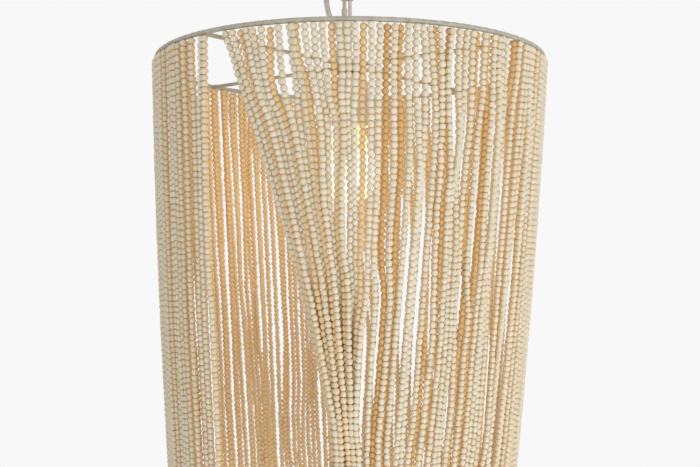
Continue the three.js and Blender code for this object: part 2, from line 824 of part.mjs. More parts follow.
function sweptStack(stack) {
  const halfTurnDegrees = THREE.MathUtils.radToDeg(strandTopWidth / 2 / hoopRadius);
  const firstDegrees = sweptFromDegrees + stack * placesPerStack * sweptPitchDegrees;
  const lastDegrees = firstDegrees + (placesPerStack - 1) * sweptPitchDegrees;
  const innerDegrees = firstDegrees + innerStackPlace * sweptPitchDegrees;
  const endShare = 1 + (rodClear + runHeight / 2) / drumHeight;
  const shares = [topShare + runShare / 2, ...sweptRowShares, gatherShare, endShare];
  let made = threadRun(firstDegrees - halfTurnDegrees, lastDegrees + halfTurnDegrees)
    .add(threadOver(overTopHoop, innerDegrees + sweptPitchDegrees, innerDegrees, 1))
    .add(threadUnder(stack));
  for (let place = 0; place < placesPerStack; place++) {
    const degrees = firstDegrees + place * sweptPitchDegrees;
    const row = stack % 2 === 1 ? place : placesPerStack - 1 - place;
    const startStandOff = place === innerStackPlace ? -strandStandOff : strandStandOff;
    const centres = shares.map((share) => sweptPoint(degrees, startStandOff, stack, rowOffset(row), share));
    const facings = shares.map((share) => degrees * Math.max(0, 1 - share / gatherShare));
    made = made.add(bar(centres, facings, shares));
  }
  return made;
}

for (let stack = 0; stack < sweptStacks; stack++) {
  addPiece(`swept_strands_${stack + 1}`, beads, sweptStack(stack));
}

// The tie, a band of wound thread round the bundle
function drapeTie() {
  const middle = (sweptStacks - 1) / 2;
  const centre = sweptPoint(0, 0, middle, 0, tieShare);
  const half = strandWidthAt(tieShare) / 2 + tieClearance;
  const wide = middle * stackPitch + half;
  const deep = rowOffset(0) + half;
  const frame = (outline, grow) => {
    const x = wide + grow;
    const y = deep + grow;
    const corner = tieCorner + grow;
    outline.moveTo(corner - x, -y);
    outline.lineTo(x - corner, -y);
    outline.lineTo(x, corner - y);
    outline.lineTo(x, y - corner);
    outline.lineTo(x - corner, y);
    outline.lineTo(corner - x, y);
    outline.lineTo(-x, y - corner);
    outline.lineTo(-x, corner - y);
    outline.closePath();
    return outline;
  };
  const band = frame(new THREE.Shape(), tieWall);
  band.holes.push(frame(new THREE.Path(), 0));
  const wound = new THREE.ExtrudeGeometry(band, { depth: tieHeight, bevelEnabled: false });
  wound.translate(centre.x, centre.y, heightAt(tieShare) - tieHeight / 2);
  return solidOf(wound);
}

addPiece("drape_tie", thread, drapeTie());

export default chandelier;
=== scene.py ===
import math

import bpy
import numpy as np
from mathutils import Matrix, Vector


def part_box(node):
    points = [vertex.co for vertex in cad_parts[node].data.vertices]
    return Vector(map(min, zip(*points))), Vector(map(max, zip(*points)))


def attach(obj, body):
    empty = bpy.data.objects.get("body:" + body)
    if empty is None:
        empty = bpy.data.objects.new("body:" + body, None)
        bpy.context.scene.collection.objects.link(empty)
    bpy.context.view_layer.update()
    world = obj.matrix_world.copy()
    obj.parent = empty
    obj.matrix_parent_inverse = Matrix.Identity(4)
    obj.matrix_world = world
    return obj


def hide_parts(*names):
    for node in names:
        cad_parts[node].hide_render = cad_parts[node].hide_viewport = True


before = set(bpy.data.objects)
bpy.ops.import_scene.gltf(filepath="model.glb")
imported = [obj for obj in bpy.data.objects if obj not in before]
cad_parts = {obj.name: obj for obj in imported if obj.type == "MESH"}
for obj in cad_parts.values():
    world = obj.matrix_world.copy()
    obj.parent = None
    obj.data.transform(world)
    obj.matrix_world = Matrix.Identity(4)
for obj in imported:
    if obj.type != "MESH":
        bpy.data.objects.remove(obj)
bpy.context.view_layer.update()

# %% [markdown]
# ## The camera
# The picture was taken level, from the lamp's front, with the lens a little below the hoop, so that
# uprights stay upright. A level camera whose frame is shifted up gives the same view, and it is easy to
# turn round the lamp later.
# %% Camera
HOOP_Z = -0.127
CAMERA_DISTANCE = 1.09
CAMERA_BELOW_HOOP = 0.2208
SENSOR_WIDTH = 36.0
LENS = 50.7
FRAME_SHIFT = 0.0464


def put(name, data):
    """A new object in the scene."""
    made = bpy.data.objects.new(name, data)
    bpy.context.scene.collection.objects.link(made)
    return made


lens = bpy.data.cameras.new("camera")
lens.sensor_width = SENSOR_WIDTH
lens.lens = LENS
lens.shift_y = FRAME_SHIFT
lens.clip_start = 0.01
camera = put("camera", lens)
camera.location = (0.0, -CAMERA_DISTANCE, HOOP_Z - CAMERA_BELOW_HOOP)
camera.rotation_euler = (math.radians(90), 0.0, 0.0)
bpy.context.scene.camera = camera
print("camera at", tuple(round(c, 3) for c in camera.location))

# %% [markdown]
# ## The power cord
# A cord is one fixed length of something that bends, so its route comes before its looks. This one leaves
# the relief on the hub straight up, swings out to the left in an easy bend and goes straight up through the
# grommet of the canopy. A smooth curve through the listed points keeps every bend wide. Its skin follows
# with the other hardware.
# %% Cord route
CORD_RADIUS = 0.003
CORD_ROUTE = [
    (-0.0115, 0.0055, -0.1017), (-0.0115, 0.0055, -0.098), (-0.0119, 0.0053, -0.0945),
    (-0.0129, 0.005, -0.091), (-0.0143, 0.0045, -0.0875), (-0.0161, 0.0039, -0.084),
    (-0.018, 0.0032, -0.0805), (-0.0199, 0.0025, -0.077), (-0.0216, 0.0018, -0.0735),
    (-0.0231, 0.0012, -0.0695), (-0.0244, 0.0007, -0.065), (-0.0253, 0.0003, -0.0605),
    (-0.0259, 0.0001, -0.056), (-0.0262, 0.0, -0.051), (-0.0263, 0.0, -0.046),
    (-0.0263, 0.0, -0.04), (-0.0263, 0.0, -0.033), (-0.0263, 0.0, -0.0195),
]


def smooth_route(points, steps_each=6):
    """Points of one smooth curve through the points given."""
    p = np.array(points)
    p = np.vstack([2 * p[0] - p[1], p, 2 * p[-1] - p[-2]])
    made = []
    for a, b, c, d in zip(p, p[1:], p[2:], p[3:]):
        square, cube = 2 * a - 5 * b + 4 * c - d, 3 * b - a - 3 * c + d
        for t in np.arange(steps_each) / steps_each:
            made.append(0.5 * (2 * b + (c - a) * t + square * t**2 + cube * t**3))
    return np.array(made + [p[-2]])


def step_lengths(line):
    """How far each point of a line is from the one before it."""
    return np.linalg.norm(np.diff(line, axis=0), axis=1)


cord_line = smooth_route(CORD_ROUTE)

# %% [markdown]
# ## Writing shaders as sums
# A material is a graph of nodes, but most of a graph is plain arithmetic. This small class holds one output
# socket and turns Python's operators into Math nodes, so a mask can be written as `1 - rim * worn`. Its
# `node` method makes any other node, and applies the settings before the inputs, because some of them
# change which sockets there are.
# %% Shader wires
class Wire:
    """One output socket of a material's nodes."""

    def __init__(self, tree, socket=None):
        self.tree = tree
        self.socket = socket

    def node(self, kind, inputs=None, output=0, **settings):
        made = self.tree.nodes.new(kind)
        for key, value in settings.items():
            if key == "stops":
                set_stops(made.color_ramp, value)
            else:
                setattr(made, key, value)
        for key, value in (inputs or {}).items():
            if isinstance(value, Wire):
                self.tree.links.new(value.socket, made.inputs[key])
            else:
                made.inputs[key].default_value = value
        return Wire(self.tree, made.outputs[output])

    def math(self, operation, first, second):
        return self.node("ShaderNodeMath", {0: first, 1: second}, operation=operation)

    def __add__(self, other):
        return self.math("ADD", self, other)

    def __sub__(self, other):
        return self.math("SUBTRACT", self, other)

    def __rsub__(self, other):
        return self.math("SUBTRACT", other, self)

    def __mul__(self, other):
        return self.math("MULTIPLY", self, other)

    __radd__ = __add__
    __rmul__ = __mul__

    def between(self, low, high):
        """0 below low, 1 above high, and a smooth climb between them."""
        inputs = {"Value": self, "From Min": low, "From Max": high}
        return self.node("ShaderNodeMapRange", inputs, interpolation_type="SMOOTHSTEP")

    def blend(self, first, second):
        """The first colour where this mask is 0, and the second where it is 1."""
        return self.node("ShaderNodeMix", {"Factor": self, 6: first, 7: second}, output=2, data_type="RGBA")


def set_stops(ramp, stops):
    """Gives a colour ramp its stops, each a place from 0 to 1 and a colour."""
    while len(ramp.elements) < len(stops):
        ramp.elements.new(1.0)
    for element, (place, colour) in zip(ramp.elements, stops):
        element.position = place
        element.color = colour


# %% [markdown]
# Colours are easiest to pick as the numbers from 0 to 255 that a picture shows, while a shader works in
# linear light. One helper turns the first into the second. Another starts a material and hands back its
# shader and a blank wire.
# %% Colours and new materials
def paint_chip(red, green, blue):
    """A colour given as 0 to 255, in the linear light that shaders use."""
    def linear(level):
        share = level / 255
        return share / 12.92 if share <= 0.04045 else ((share + 0.055) / 1.055) ** 2.4
    return (linear(red), linear(green), linear(blue), 1.0)


def new_finish(name, roughness=0.5, metallic=0.0):
    """A material with its main shader, and a blank wire for making nodes."""
    material = bpy.data.materials.new(name)
    material.use_nodes = True
    tree = material.node_tree
    shader = tree.nodes["Principled BSDF"]
    shader.inputs["Roughness"].default_value = roughness
    shader.inputs["Metallic"].default_value = metallic
    return material, shader, Wire(tree)


def plug(wire, shader, socket):
    wire.tree.links.new(wire.socket, shader.inputs[socket])


def place_noise(wire, scale, detail=3.0, stretch=(1.0, 1.0, 1.0)):
    """Noise fixed to the lamp itself, so many bumps to the metre."""
    spot = wire.node("ShaderNodeTexCoord", output="Object")
    spread = wire.node("ShaderNodeMapping", {"Vector": spot, "Scale": stretch})
    return wire.node("ShaderNodeTexNoise", {"Vector": spread, "Scale": scale, "Detail": detail})


def raise_bumps(wire, height, shader, depth, strength):
    inputs = {"Height": height, "Distance": depth, "Strength": strength}
    plug(wire.node("ShaderNodeBump", inputs), shader, "Normal")


# %% [markdown]
# ## Whitewashed beads
# The beads are turned wood under a thin pale wash. The wash was put on from outside, so it thins out round
# the sides of a strand and never reached the strands that hang inside. The tan that shows round the sides is
# partly bare wood and partly painted light: the warm glow that bounces between neighbouring strands. The wash
# also wears off at the rims of the thread hole. The inner strands at the front are painted a browner wood, as
# painted shade where they hang behind the outer ones. The mesh stores for each point how near it is to the
# hole, how far it faces out, its bead's own tone, and how far it is kept clear of that painted shade.
# %% Bead finish
WASH = paint_chip(217, 211, 194)
WASH_SHADE = paint_chip(206, 198, 175)
BARE_WOOD = paint_chip(221, 193, 147)
RUBBED_WOOD = paint_chip(214, 173, 114)
# A browner wood, painted shade for the inner strands at the front that hang behind the outer ones.
SHADED_INNER_WOOD = paint_chip(204, 164, 107)


def bead_finish():
    material, shader, wire = new_finish("whitewashed_wood_and_painted_light", roughness=0.6)
    stored, unshaded = (wire.node("ShaderNodeAttribute", output=kind, attribute_name="bead")
                     for kind in ("Color", "Alpha"))
    hole, facing, tone = (wire.node("ShaderNodeSeparateColor", {"Color": stored}, output=k) for k in range(3))
    grain = place_noise(wire, 900.0, detail=2.0, stretch=(1.0, 1.0, 0.25))
    patches = place_noise(wire, 260.0, detail=2.0)
    rim = (hole + 0.3 * grain - 0.15).between(0.8, 1.02)
    outside = facing + 0.4 * patches - 0.2
    # Where the wash thins round a strand's sides, tan wood shows: partly bare wood, partly painted light for
    # the warm glow bouncing between strands.
    wash_and_side_glow = 0.3 * outside.between(0.02, 0.3) + 0.7 * outside.between(0.6, 0.9)
    # Where the unshaded share is low, on the inner strands at the front, the wood is painted browner as
    # painted shade.
    wood = unshaded.blend(SHADED_INNER_WOOD, (0.7 * rim + 0.5 * grain - 0.1).blend(BARE_WOOD, RUBBED_WOOD))
    wash = tone.blend(WASH_SHADE, WASH)
    plug((wash_and_side_glow * (1 - 0.75 * rim)).blend(wood, wash), shader, "Base Color")
    plug(0.6 + 0.2 * grain, shader, "Roughness")
    raise_bumps(wire, grain, shader, depth=0.0002, strength=0.4)
    return material


bead_wood = bead_finish()
print("made", bead_wood.name)

# %% [markdown]
# ## Thread
# The thread is thin twisted cotton, greyed by handling. Nothing of its twist shows at this size except a
# slightly broken surface, so a fine noise in colour and bump is enough.
# %% Thread finish
def two_tone(name, scale, first, second):
    """A dull finish whose colour wanders between two, with its shader and its noise."""
    material, shader, wire = new_finish(name, roughness=0.9)
    noise = place_noise(wire, scale)
    plug(noise.blend(paint_chip(*first), paint_chip(*second)), shader, "Base Color")
    return material, shader, noise


thread_cotton, thread_shader, fibre = two_tone("twisted_thread", 1500.0, (176, 158, 124), (206, 190, 156))
raise_bumps(fibre, fibre, thread_shader, depth=0.0003, strength=0.6)
print("made", thread_cotton.name)

# %% [markdown]
# ## Painted, plated and moulded parts
# The hoops, arms and canopy have a satin off-white paint that was brushed over wire and sheet. It pools a
# little, so its tone and gloss wander. The cup is enamelled. Steel gets streaks along its length, and
# moulded plastic gets a faint flow mottle. They differ only in colours, gloss and the size of their marks,
# so one recipe makes them all.
# %% Metal and plastic finishes
def marked_finish(name, light, dark, scale, roughness, metallic=0.0, depth=0.00005, stretch=(1, 1, 1)):
    """A finish whose tone, gloss and surface wander between two colours."""
    material, shader, wire = new_finish(name, roughness, metallic)
    marks = place_noise(wire, scale, detail=4.0, stretch=stretch)
    plug(marks.between(0.3, 0.7).blend(paint_chip(*light), paint_chip(*dark)), shader, "Base Color")
    plug(roughness - 0.08 + 0.16 * marks, shader, "Roughness")
    raise_bumps(wire, marks, shader, depth=depth, strength=0.5)
    return material


satin_paint = marked_finish("satin_paint", (176, 173, 161), (160, 157, 144), 120, 0.5)
cup_enamel = marked_finish("cup_enamel", (216, 211, 194), (204, 198, 178), 90, 0.4)
drawn_steel = marked_finish("drawn_steel", (176, 176, 174), (140, 140, 139), 500, 0.36, 1.0,
                            stretch=(1, 1, 0.1))
bright_rope = marked_finish("bright_rope", (214, 213, 206), (186, 185, 178), 400, 0.42, 0.35)
sleeve_cream = marked_finish("cable_sleeve", (206, 202, 186), (190, 186, 170), 200, 0.45)
cord_vinyl = marked_finish("cord_vinyl", (200, 201, 208), (184, 185, 193), 160, 0.42)
# Near-black nylon for the cord grommet; on the set screw the same finish is painted shade for its hole.
dark_nylon_and_hole_shade = marked_finish("dark_nylon_and_hole_shade", (46, 44, 42), (30, 29, 28), 300, 0.6)
glazed_white = marked_finish("glazed_white", (236, 233, 224), (226, 222, 210), 60, 0.25)
cap_brass = marked_finish("cap_brass", (206, 166, 92), (168, 128, 62), 350, 0.3, 1.0)
print("made", len(bpy.data.materials), "materials")

# %% [markdown]
# ## The lit bulb
# The bulb is on. Through the gaps it shows as a warm glow that is yellow at the neck, where the glass is
# nearest the cap, and close to white round the filament. The height of a point picks its glow from a ramp.
# %% Bulb glow
BULB_NECK_Z = -0.190
BULB_LENGTH = 0.0874
GLOW_STRENGTH = 1.15
GLOW_STOPS = [(0.0, (255, 222, 132)), (0.3, (255, 240, 184)), (0.55, (255, 253, 240)),
              (0.85, (255, 250, 226)), (1.0, (255, 238, 190))]


def bulb_finish():
    material, shader, wire = new_finish("lit_glass", roughness=0.25)
    spot = wire.node("ShaderNodeTexCoord", output="Object")
    height = wire.node("ShaderNodeSeparateXYZ", {"Vector": spot}, output="Z")
    down = (BULB_NECK_Z - height) * (1 / BULB_LENGTH)
    stops = [(place, paint_chip(*colour)) for place, colour in GLOW_STOPS]
    plug(wire.node("ShaderNodeValToRGB", {"Fac": down}, stops=stops), shader, "Emission Color")
    shader.inputs["Emission Strength"].default_value = GLOW_STRENGTH
    shader.inputs["Base Color"].default_value = paint_chip(120, 112, 92)
    return material


lit_glass = bulb_finish()
print("made", lit_glass.name)

# %% [markdown]
# ## Meshes from arrays
# The shade has more than twenty thousand beads, and giving each its own object would be slow to make and to
# light. Instead all beads of one panel are worked out as one array of points and handed to Blender in a
# single go.
# %% Mesh from arrays
def mesh_piece(name, points, quads, materials, body, nodes, material_of=None, stored=None):
    """A smooth mesh of four-sided faces that rides on a body and stands for the CAD nodes named."""
    data = bpy.data.meshes.new(name)
    count = len(quads)
    data.vertices.add(len(points))
    data.vertices.foreach_set("co", np.asarray(points, dtype=np.float32).ravel())
    data.loops.add(count * 4)
    data.loops.foreach_set("vertex_index", np.asarray(quads, dtype=np.int32).ravel())
    data.polygons.add(count)
    data.polygons.foreach_set("loop_start", np.arange(0, count * 4, 4, dtype=np.int32))
    data.polygons.foreach_set("use_smooth", np.ones(count, dtype=bool))
    if material_of is not None:
        data.polygons.foreach_set("material_index", np.asarray(material_of, dtype=np.int32))
    if stored is not None:
        layer = data.attributes.new("bead", "FLOAT_COLOR", "POINT")
        layer.data.foreach_set("color", np.asarray(stored, dtype=np.float32).ravel())
    data.update(calc_edges=True)
    data.validate()
    for material in materials:
        data.materials.append(material)
    made = put(name, data)
    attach(made, body)
    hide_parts(*nodes)
    return made


# %% [markdown]
# Turned parts, hoops and tubes are all rings of points joined by bands of faces. `ring_bands` writes those
# faces for any number of rings, and every maker below uses it.
# %% Rings of points
def ring_bands(rings, sides, closed):
    """Faces that join each ring of points to the next."""
    start = np.arange(rings if closed else rings - 1)[:, None] * sides
    after = (start + sides) % (rings * sides)
    across = np.arange(sides)
    beside = (across + 1) % sides
    faces = np.stack([start + across, start + beside, after + beside, after + across], -1)
    return faces.reshape(-1, 4)


def around(sides):
    """The angles of points spread evenly round a circle."""
    return np.arange(sides) * 2 * math.pi / sides


def ringed_piece(name, rings, closed, material, body, nodes):
    """A piece whose skin joins rings of points, open at its ends or closed from the last to the first."""
    faces = ring_bands(len(rings), len(rings[0]), closed)
    return mesh_piece(name, np.vstack(rings), faces, [material], body, nodes)


def ring_at(centre, radius, angle, z):
    """A level ring of points, with one radius or with one for each angle."""
    x, y = centre[0] + radius * np.cos(angle), centre[1] + radius * np.sin(angle)
    return np.stack(np.broadcast_arrays(x, y, z), 1)


# %% [markdown]
# A part from a lathe is one level ring of points for each point of its profile. On a smooth mesh its sharp
# edges would look melted, so `crisp` splits the mesh wherever two faces meet at more than a small angle.
# %% Turned pieces
def crisp(piece, degrees=38):
    """The piece with edges sharper than this split, so that they stay sharp on a smooth mesh."""
    piece.modifiers.new("crisp_edges", "EDGE_SPLIT").split_angle = math.radians(degrees)
    return piece


def turned_piece(name, profile, material, body, nodes, sides=64):
    """A part turned about an upright axis from a closed profile of (radius, height) points."""
    rings = [ring_at((0.0, 0.0), r, around(sides), z) for r, z in profile]
    return crisp(ringed_piece(name, rings, True, material, body, nodes))


# %% [markdown]
# A tube has a ring of points round each point of its line, square to it. Two cross products give the
# directions for that: first with a fixed direction that the line never follows, and then with the direction
# just found.
# %% Tubes
def unit(vectors):
    """The same directions, with a length of one."""
    return vectors / np.maximum(np.linalg.norm(vectors, axis=1, keepdims=True), 1e-9)


def tube(line, radius, sides, across=(0.0, 0.0, 1.0)):
    """Points and faces of a thin tube along a line, with open ends."""
    along = unit(np.gradient(line, axis=0))
    side = unit(np.cross(along, across))
    up = np.cross(side, along)
    angle = around(sides)
    spread = side[:, None] * np.cos(angle)[None, :, None] + up[:, None] * np.sin(angle)[None, :, None]
    return (line[:, None] + radius * spread).reshape(-1, 3), ring_bands(len(line), sides, False)


# %% [markdown]
# ## Where the strands hang
# These few lines repeat the CAD's own rules for the drum: its radius shrinks towards a smaller lower hoop,
# that hoop sits a little to the left, and the strands lean round it. The lean is less beside the window,
# where the sweep holds them back, and next to the bundle, which the first strand clears on its right.
# %% Drum shape
HOOP_RADIUS = 0.210
LOWER_RADIUS = 0.180
DRUM_HEIGHT = 0.510
LOWER_SHIFT = 0.0095
ROD_RADIUS = 0.0023
STAND_OFF = 0.0016
CURTAIN_FROM, CURTAIN_TO = 7.3, 318.8
PANELS, PLACES_PER_PANEL = 24, 7
INNER_PLACES = (1, 3)
CURTAIN_PITCH = (CURTAIN_TO - CURTAIN_FROM) / (PANELS * PLACES_PER_PANEL - 1)
FIRST_FOOT_X = 0.0125
FIRST_FOOT = math.degrees(math.asin((FIRST_FOOT_X + LOWER_SHIFT) / (LOWER_RADIUS + STAND_OFF)))
FIRST_TWIST = FIRST_FOOT - CURTAIN_FROM
GENERAL_TWIST, WINDOW_RELIEF, WINDOW_DEGREES = -6.5, 8, -40
print("strands every", round(CURTAIN_PITCH, 2), "degrees, the first turned by", round(FIRST_TWIST, 2))


def smoothstep(value, low, high):
    share = np.clip((value - low) / (high - low), 0.0, 1.0)
    return share * share * (3 - 2 * share)


def polar(degrees, radius, z=0.0):
    """A point at an angle from the front, to the right, and a distance from the lamp's axis."""
    angle = np.radians(degrees)
    return np.stack(np.broadcast_arrays(radius * np.sin(angle), -radius * np.cos(angle), z), -1)


def twist_at(degrees):
    """How far a strand has turned by the lower hoop."""
    away = abs((degrees - WINDOW_DEGREES + 180) % 360 - 180)
    general = GENERAL_TWIST + WINDOW_RELIEF * (1 - smoothstep(away, 35, 60))
    return FIRST_TWIST + (general - FIRST_TWIST) * smoothstep(degrees - CURTAIN_FROM, 0, 50)


# %% [markdown]
# Real strands don't hang like a comb. Each has its own slight error of spacing and drifts slowly to one
# side and back, and the whole curtain swells by a few millimetres between the hoops. `drift` gives a
# strand's wandering.
# %% Curtain lines
SWELL = 0.003
DRIFT_WAVES = ((1.3, 0.8), (3.1, 0.45))
chance = np.random.default_rng(7)


def drift(shares, reach):
    """A slow sideways wander that starts and ends at nothing."""
    held = np.sin(math.pi * np.clip(shares, 0, 1)) ** 0.6
    waves = [(rate, chance.normal(0, size), chance.uniform(0, 2 * math.pi)) for rate, size in DRIFT_WAVES]
    wander = sum(size * np.sin(rate * 2 * math.pi * shares + phase) for rate, size, phase in waves)
    return reach * held * wander


def curtain_line(degrees, shares, stand_off, reach):
    """The line of one hanging strand, from the top hoop to the lower one."""
    swell = SWELL * np.sin(math.pi * shares)
    hung = HOOP_RADIUS + (LOWER_RADIUS - HOOP_RADIUS) * shares
    radius = hung + stand_off + swell + drift(shares, 0.3 * reach)
    turned = degrees + twist_at(degrees) * shares + np.degrees(drift(shares, reach) / HOOP_RADIUS)
    line = polar(turned, radius, HOOP_Z - DRUM_HEIGHT * shares)
    line[:, 0] -= LOWER_SHIFT * shares
    return line


# %% [markdown]
# A curtain of strands also parts here and there. Where the near and the far side of the drum part in the
# same line of sight, the pale room shows right through as a long thin slit. Each row below is one such
# slit: where it starts and ends in the picture, in points from its top left corner, and how wide it looks.
# %% Partings seen through the drum
PICTURE_WIDTH, HORIZON = 700, 266
FOCAL = LENS / SENSOR_WIDTH * PICTURE_WIDTH
PARTINGS = [
    (220, 96, 232, 372, 1.3), (228, 110, 250, 467, 1.1), (238, 130, 244, 300, 0.7),
    (252, 150, 262, 345, 1.3), (260, 172, 270, 372, 1.2), (269, 215, 279, 467, 1.7),
    (276, 220, 283, 345, 1.0), (298, 290, 302, 390, 0.9), (318, 366, 323, 467, 1.8),
    (290, 400, 292, 450, 0.9), (196, 34, 197, 84, 3.0), (208, 300, 216, 467, 0.4),
    (332, 120, 333, 205, 2.0), (346, 170, 346, 250, 2.0), (358, 110, 358, 180, 1.0),
    (366, 325, 360, 427, 2.6), (381, 290, 373, 395, 2.0), (415, 165, 390, 467, 3.5),
    (433, 96, 408, 425, 3.6), (431, 240, 428, 350, 1.3), (451, 40, 456, 170, 3.4),
    (467, 110, 458, 200, 1.3), (482, 120, 469, 285, 1.4), (444, 24, 447, 50, 2.6),
    (496, 100, 485, 250, 1.2), (508, 96, 490, 330, 2.0), (527, 120, 491, 467, 2.2),
    (462, 265, 457, 330, 1.5), (421, 40, 420, 92, 3.0), (510, 40, 508, 80, 1.4),
    (424, 455, 422, 467, 1.6), (490, 330, 482, 450, 1.0), (339, 65, 339, 71, 1.2),
    (448, 400, 443, 440, 1.2),
]
print(len(PARTINGS), "slits to keep open")


def seen(lines):
    """Where points of the lamp appear in the picture."""
    away = lines[..., 1] + CAMERA_DISTANCE
    rise = lines[..., 2] - HOOP_Z + CAMERA_BELOW_HOOP
    return PICTURE_WIDTH / 2 + FOCAL * lines[..., 0] / away, HORIZON - FOCAL * rise / away


# %% [markdown]
# `part` makes room for the slits. All strands of one layer are slid along the drum together: each takes the
# mean of its neighbours' slides, so they close up evenly, and then as much more as it needs to clear every
# slit. After some rounds of that the strands lie like parted hair. Strands near the drum's outline, seen
# edge on, are left alone: a metre of slide moves them by fewer than `EDGE_ON` points. At its ends a slit
# closes over about `FADE` points.
# %% Parting the strands
CLEAR_WIDTH, MOST_SLIDE, ROUNDS = 0.0064, 0.008, 40
EDGE_ON, FADE, LEAD = 380, 22, 4
FOLLOW = 0.48


def part(lines, along, partings):
    """Strand lines, strands by points by three, slid along the drum to leave the partings open."""
    x, y = seen(lines)
    pace = (seen(lines + 0.001 * along[:, None])[0] - x) / 0.001
    room = 0.5 * CLEAR_WIDTH * FOCAL / (lines[..., 1] + CAMERA_DISTANCE)
    free = np.abs(pace).max(1) > EDGE_ON
    slide = np.zeros(x.shape)
    clearings = []
    for x0, y0, x1, y1, wide in partings:
        hold = smoothstep(y, y0 - FADE, y0 + LEAD) * (1 - smoothstep(y, y1 - LEAD, y1 + FADE)) * free[:, None]
        apart = x - (x0 + (x1 - x0) * (y - y0) / (y1 - y0))
        side = np.where((apart * hold).sum(1) > 0, 1.0, -1.0)[:, None]
        clearings.append((hold, side, room + 0.5 * wide - side * apart))
    for _ in range(ROUNDS):
        beside = np.pad(slide, ((1, 1), (0, 0)))
        slide = FOLLOW * (beside[:-2] + beside[2:]) * free[:, None]
        for hold, side, short in clearings:
            missing = np.clip(short - side * pace * slide, 0, None) * (hold > 0.02) * (short < 4 * room)
            slide += side * missing * hold / np.where(free[:, None], pace, 1.0)
        slide = np.clip(slide, -MOST_SLIDE, MOST_SLIDE)
    for _ in range(3):
        slide[:, 1:-1] = (slide[:, :-2] + slide[:, 1:-1] + slide[:, 2:]) / 3
    return lines + slide[..., None] * along[:, None]


# %% [markdown]
# ## One bead, many times
# A bead is a barrel with rounded shoulders and a flat at each end where the thread goes in. Ten sides and
# five rings are enough at this size once the surface is smooth. Beads were sorted before stringing, larger
# at the top, so their size follows the depth below the hoop. Each strand also has a scale of its own, which
# keeps rows from lining up.
# %% Bead shape and sizes
RING_HEIGHTS = np.array([-0.49, -0.31, 0.0, 0.31, 0.49])
RING_RADII = np.array([0.23, 0.43, 0.5, 0.43, 0.23])
BEAD_SIDES = 10
BEAD_FACES = ring_bands(len(RING_HEIGHTS), BEAD_SIDES, False)
TOP_BEAD, LOW_BEAD = 0.0062, 0.0058
TOP_FLATNESS, LOW_FLATNESS = 1.17, 1.08
SIZE_CHANGE, FIRST_BEAD, LENGTH_SPREAD = (0.03, 0.3), (0.0003, 0.0018), (0.9, 1.1)
print("a bead has", len(BEAD_FACES), "faces")


def by_depth(top, low, depth):
    """A size that changes from its value at the top hoop to its value lower down."""
    return top + (low - top) * smoothstep(depth, *SIZE_CHANGE)


def stations(length, scale):
    """Where a strand's beads sit along it, and how long each of them is."""
    centres, sizes = [], []
    at = chance.uniform(*FIRST_BEAD)
    while at < length - LOW_BEAD:
        size = scale * by_depth(TOP_BEAD, LOW_BEAD, at) * chance.uniform(*LENGTH_SPREAD)
        centres.append(at + size / 2)
        sizes.append(size)
        at += size
    return np.array(centres), np.array(sizes)


# %% [markdown]
# All beads of a strand are made at once. The ring heights and radii are multiplied by each bead's own
# directions and sizes, which gives every point without a loop. Four numbers go with each point, and the
# bead finish reads them. A strand inside the drum is stored as facing in all round, so no wash shows.
# %% Points of many beads
def bead_arrays(centre, along, out, side, size, width, tone, inner, unshaded):
    """Points, faces and stored numbers of all the beads of one strand."""
    angle = around(BEAD_SIDES)
    turn_out, turn_side = np.cos(angle), np.sin(angle)
    across = turn_out[:, None] * out[:, None, None] + turn_side[:, None] * side[:, None, None]
    lift = RING_HEIGHTS[:, None, None] * along[:, None, None]
    ball = RING_RADII[:, None, None] * across * width[:, None, None, None] + lift * size[:, None, None, None]
    points = (centre[:, None, None] + ball).reshape(-1, 3)
    each = len(RING_HEIGHTS) * BEAD_SIDES
    faces = (BEAD_FACES[None] + (np.arange(len(centre)) * each)[:, None, None]).reshape(-1, 4)
    hole = np.abs(RING_HEIGHTS) / RING_HEIGHTS[-1]
    facing = np.full((len(RING_HEIGHTS), BEAD_SIDES), -1.0) if inner else (2 * RING_RADII)[:, None] * turn_out
    stored = np.broadcast_arrays(hole[:, None], 0.5 + 0.5 * facing, tone[:, None, None], unshaded)
    return points, faces, np.stack(stored, -1).reshape(-1, 4)


# %% [markdown]
# `string_beads` takes the line of a strand and strings beads of many sizes along it. Each bead follows the
# line's direction from `SIGHT` behind it to `SIGHT` ahead, turns one side outwards, and sits a little to
# the side, as loosely strung beads do.
# %% Stringing beads along a line
STRAND_SPREAD, WIDTH_SPREAD, WOBBLE = (0.965, 1.035), (0.93, 1.07), 0.00026
SIGHT, ROLL_REACH = 0.002, (0.08, 0.38)
MIDDLE_TONE, STRAND_TONES, BEAD_TONES = 0.5, 0.16, 0.2


def string_beads(line, outward, inner, spin, unshaded):
    """The beads along a line, rolled about it by spin towards its foot."""
    travelled = np.concatenate([[0.0], np.cumsum(step_lengths(line))])
    at, size = stations(travelled[-1], chance.uniform(*STRAND_SPREAD))
    centre, ahead, behind = (np.stack([np.interp(at + by, travelled, line[:, k]) for k in range(3)], 1)
                             for by in (0.0, SIGHT, -SIGHT))
    along = unit(ahead - behind)
    out = unit(outward - along * (along @ outward)[:, None])
    side = np.cross(along, out)
    roll = spin * smoothstep(at, *ROLL_REACH)[:, None]
    out, side = out * np.cos(roll) + side * np.sin(roll), side * np.cos(roll) - out * np.sin(roll)
    centre = centre + side * chance.normal(0, WOBBLE, len(at))[:, None]
    width = by_depth(TOP_BEAD * TOP_FLATNESS, LOW_BEAD * LOW_FLATNESS, at)
    width = width * chance.uniform(*WIDTH_SPREAD, len(at))
    tone = np.clip(chance.normal(MIDDLE_TONE, STRAND_TONES) + chance.normal(0, BEAD_TONES, len(at)), 0, 1)
    return bead_arrays(centre, along, out, side, size, width, tone, inner, unshaded)


# %% [markdown]
# ## Collecting a panel
# Beads and thread of one panel go into one mesh with two material slots. This basket keeps adding arrays,
# shifts the face numbers of each new one past those before it, and pours the lot into a single piece at the
# end.
# %% Basket for beads and thread
THREAD_RADIUS, THREAD_SIDES = 0.00028, 4


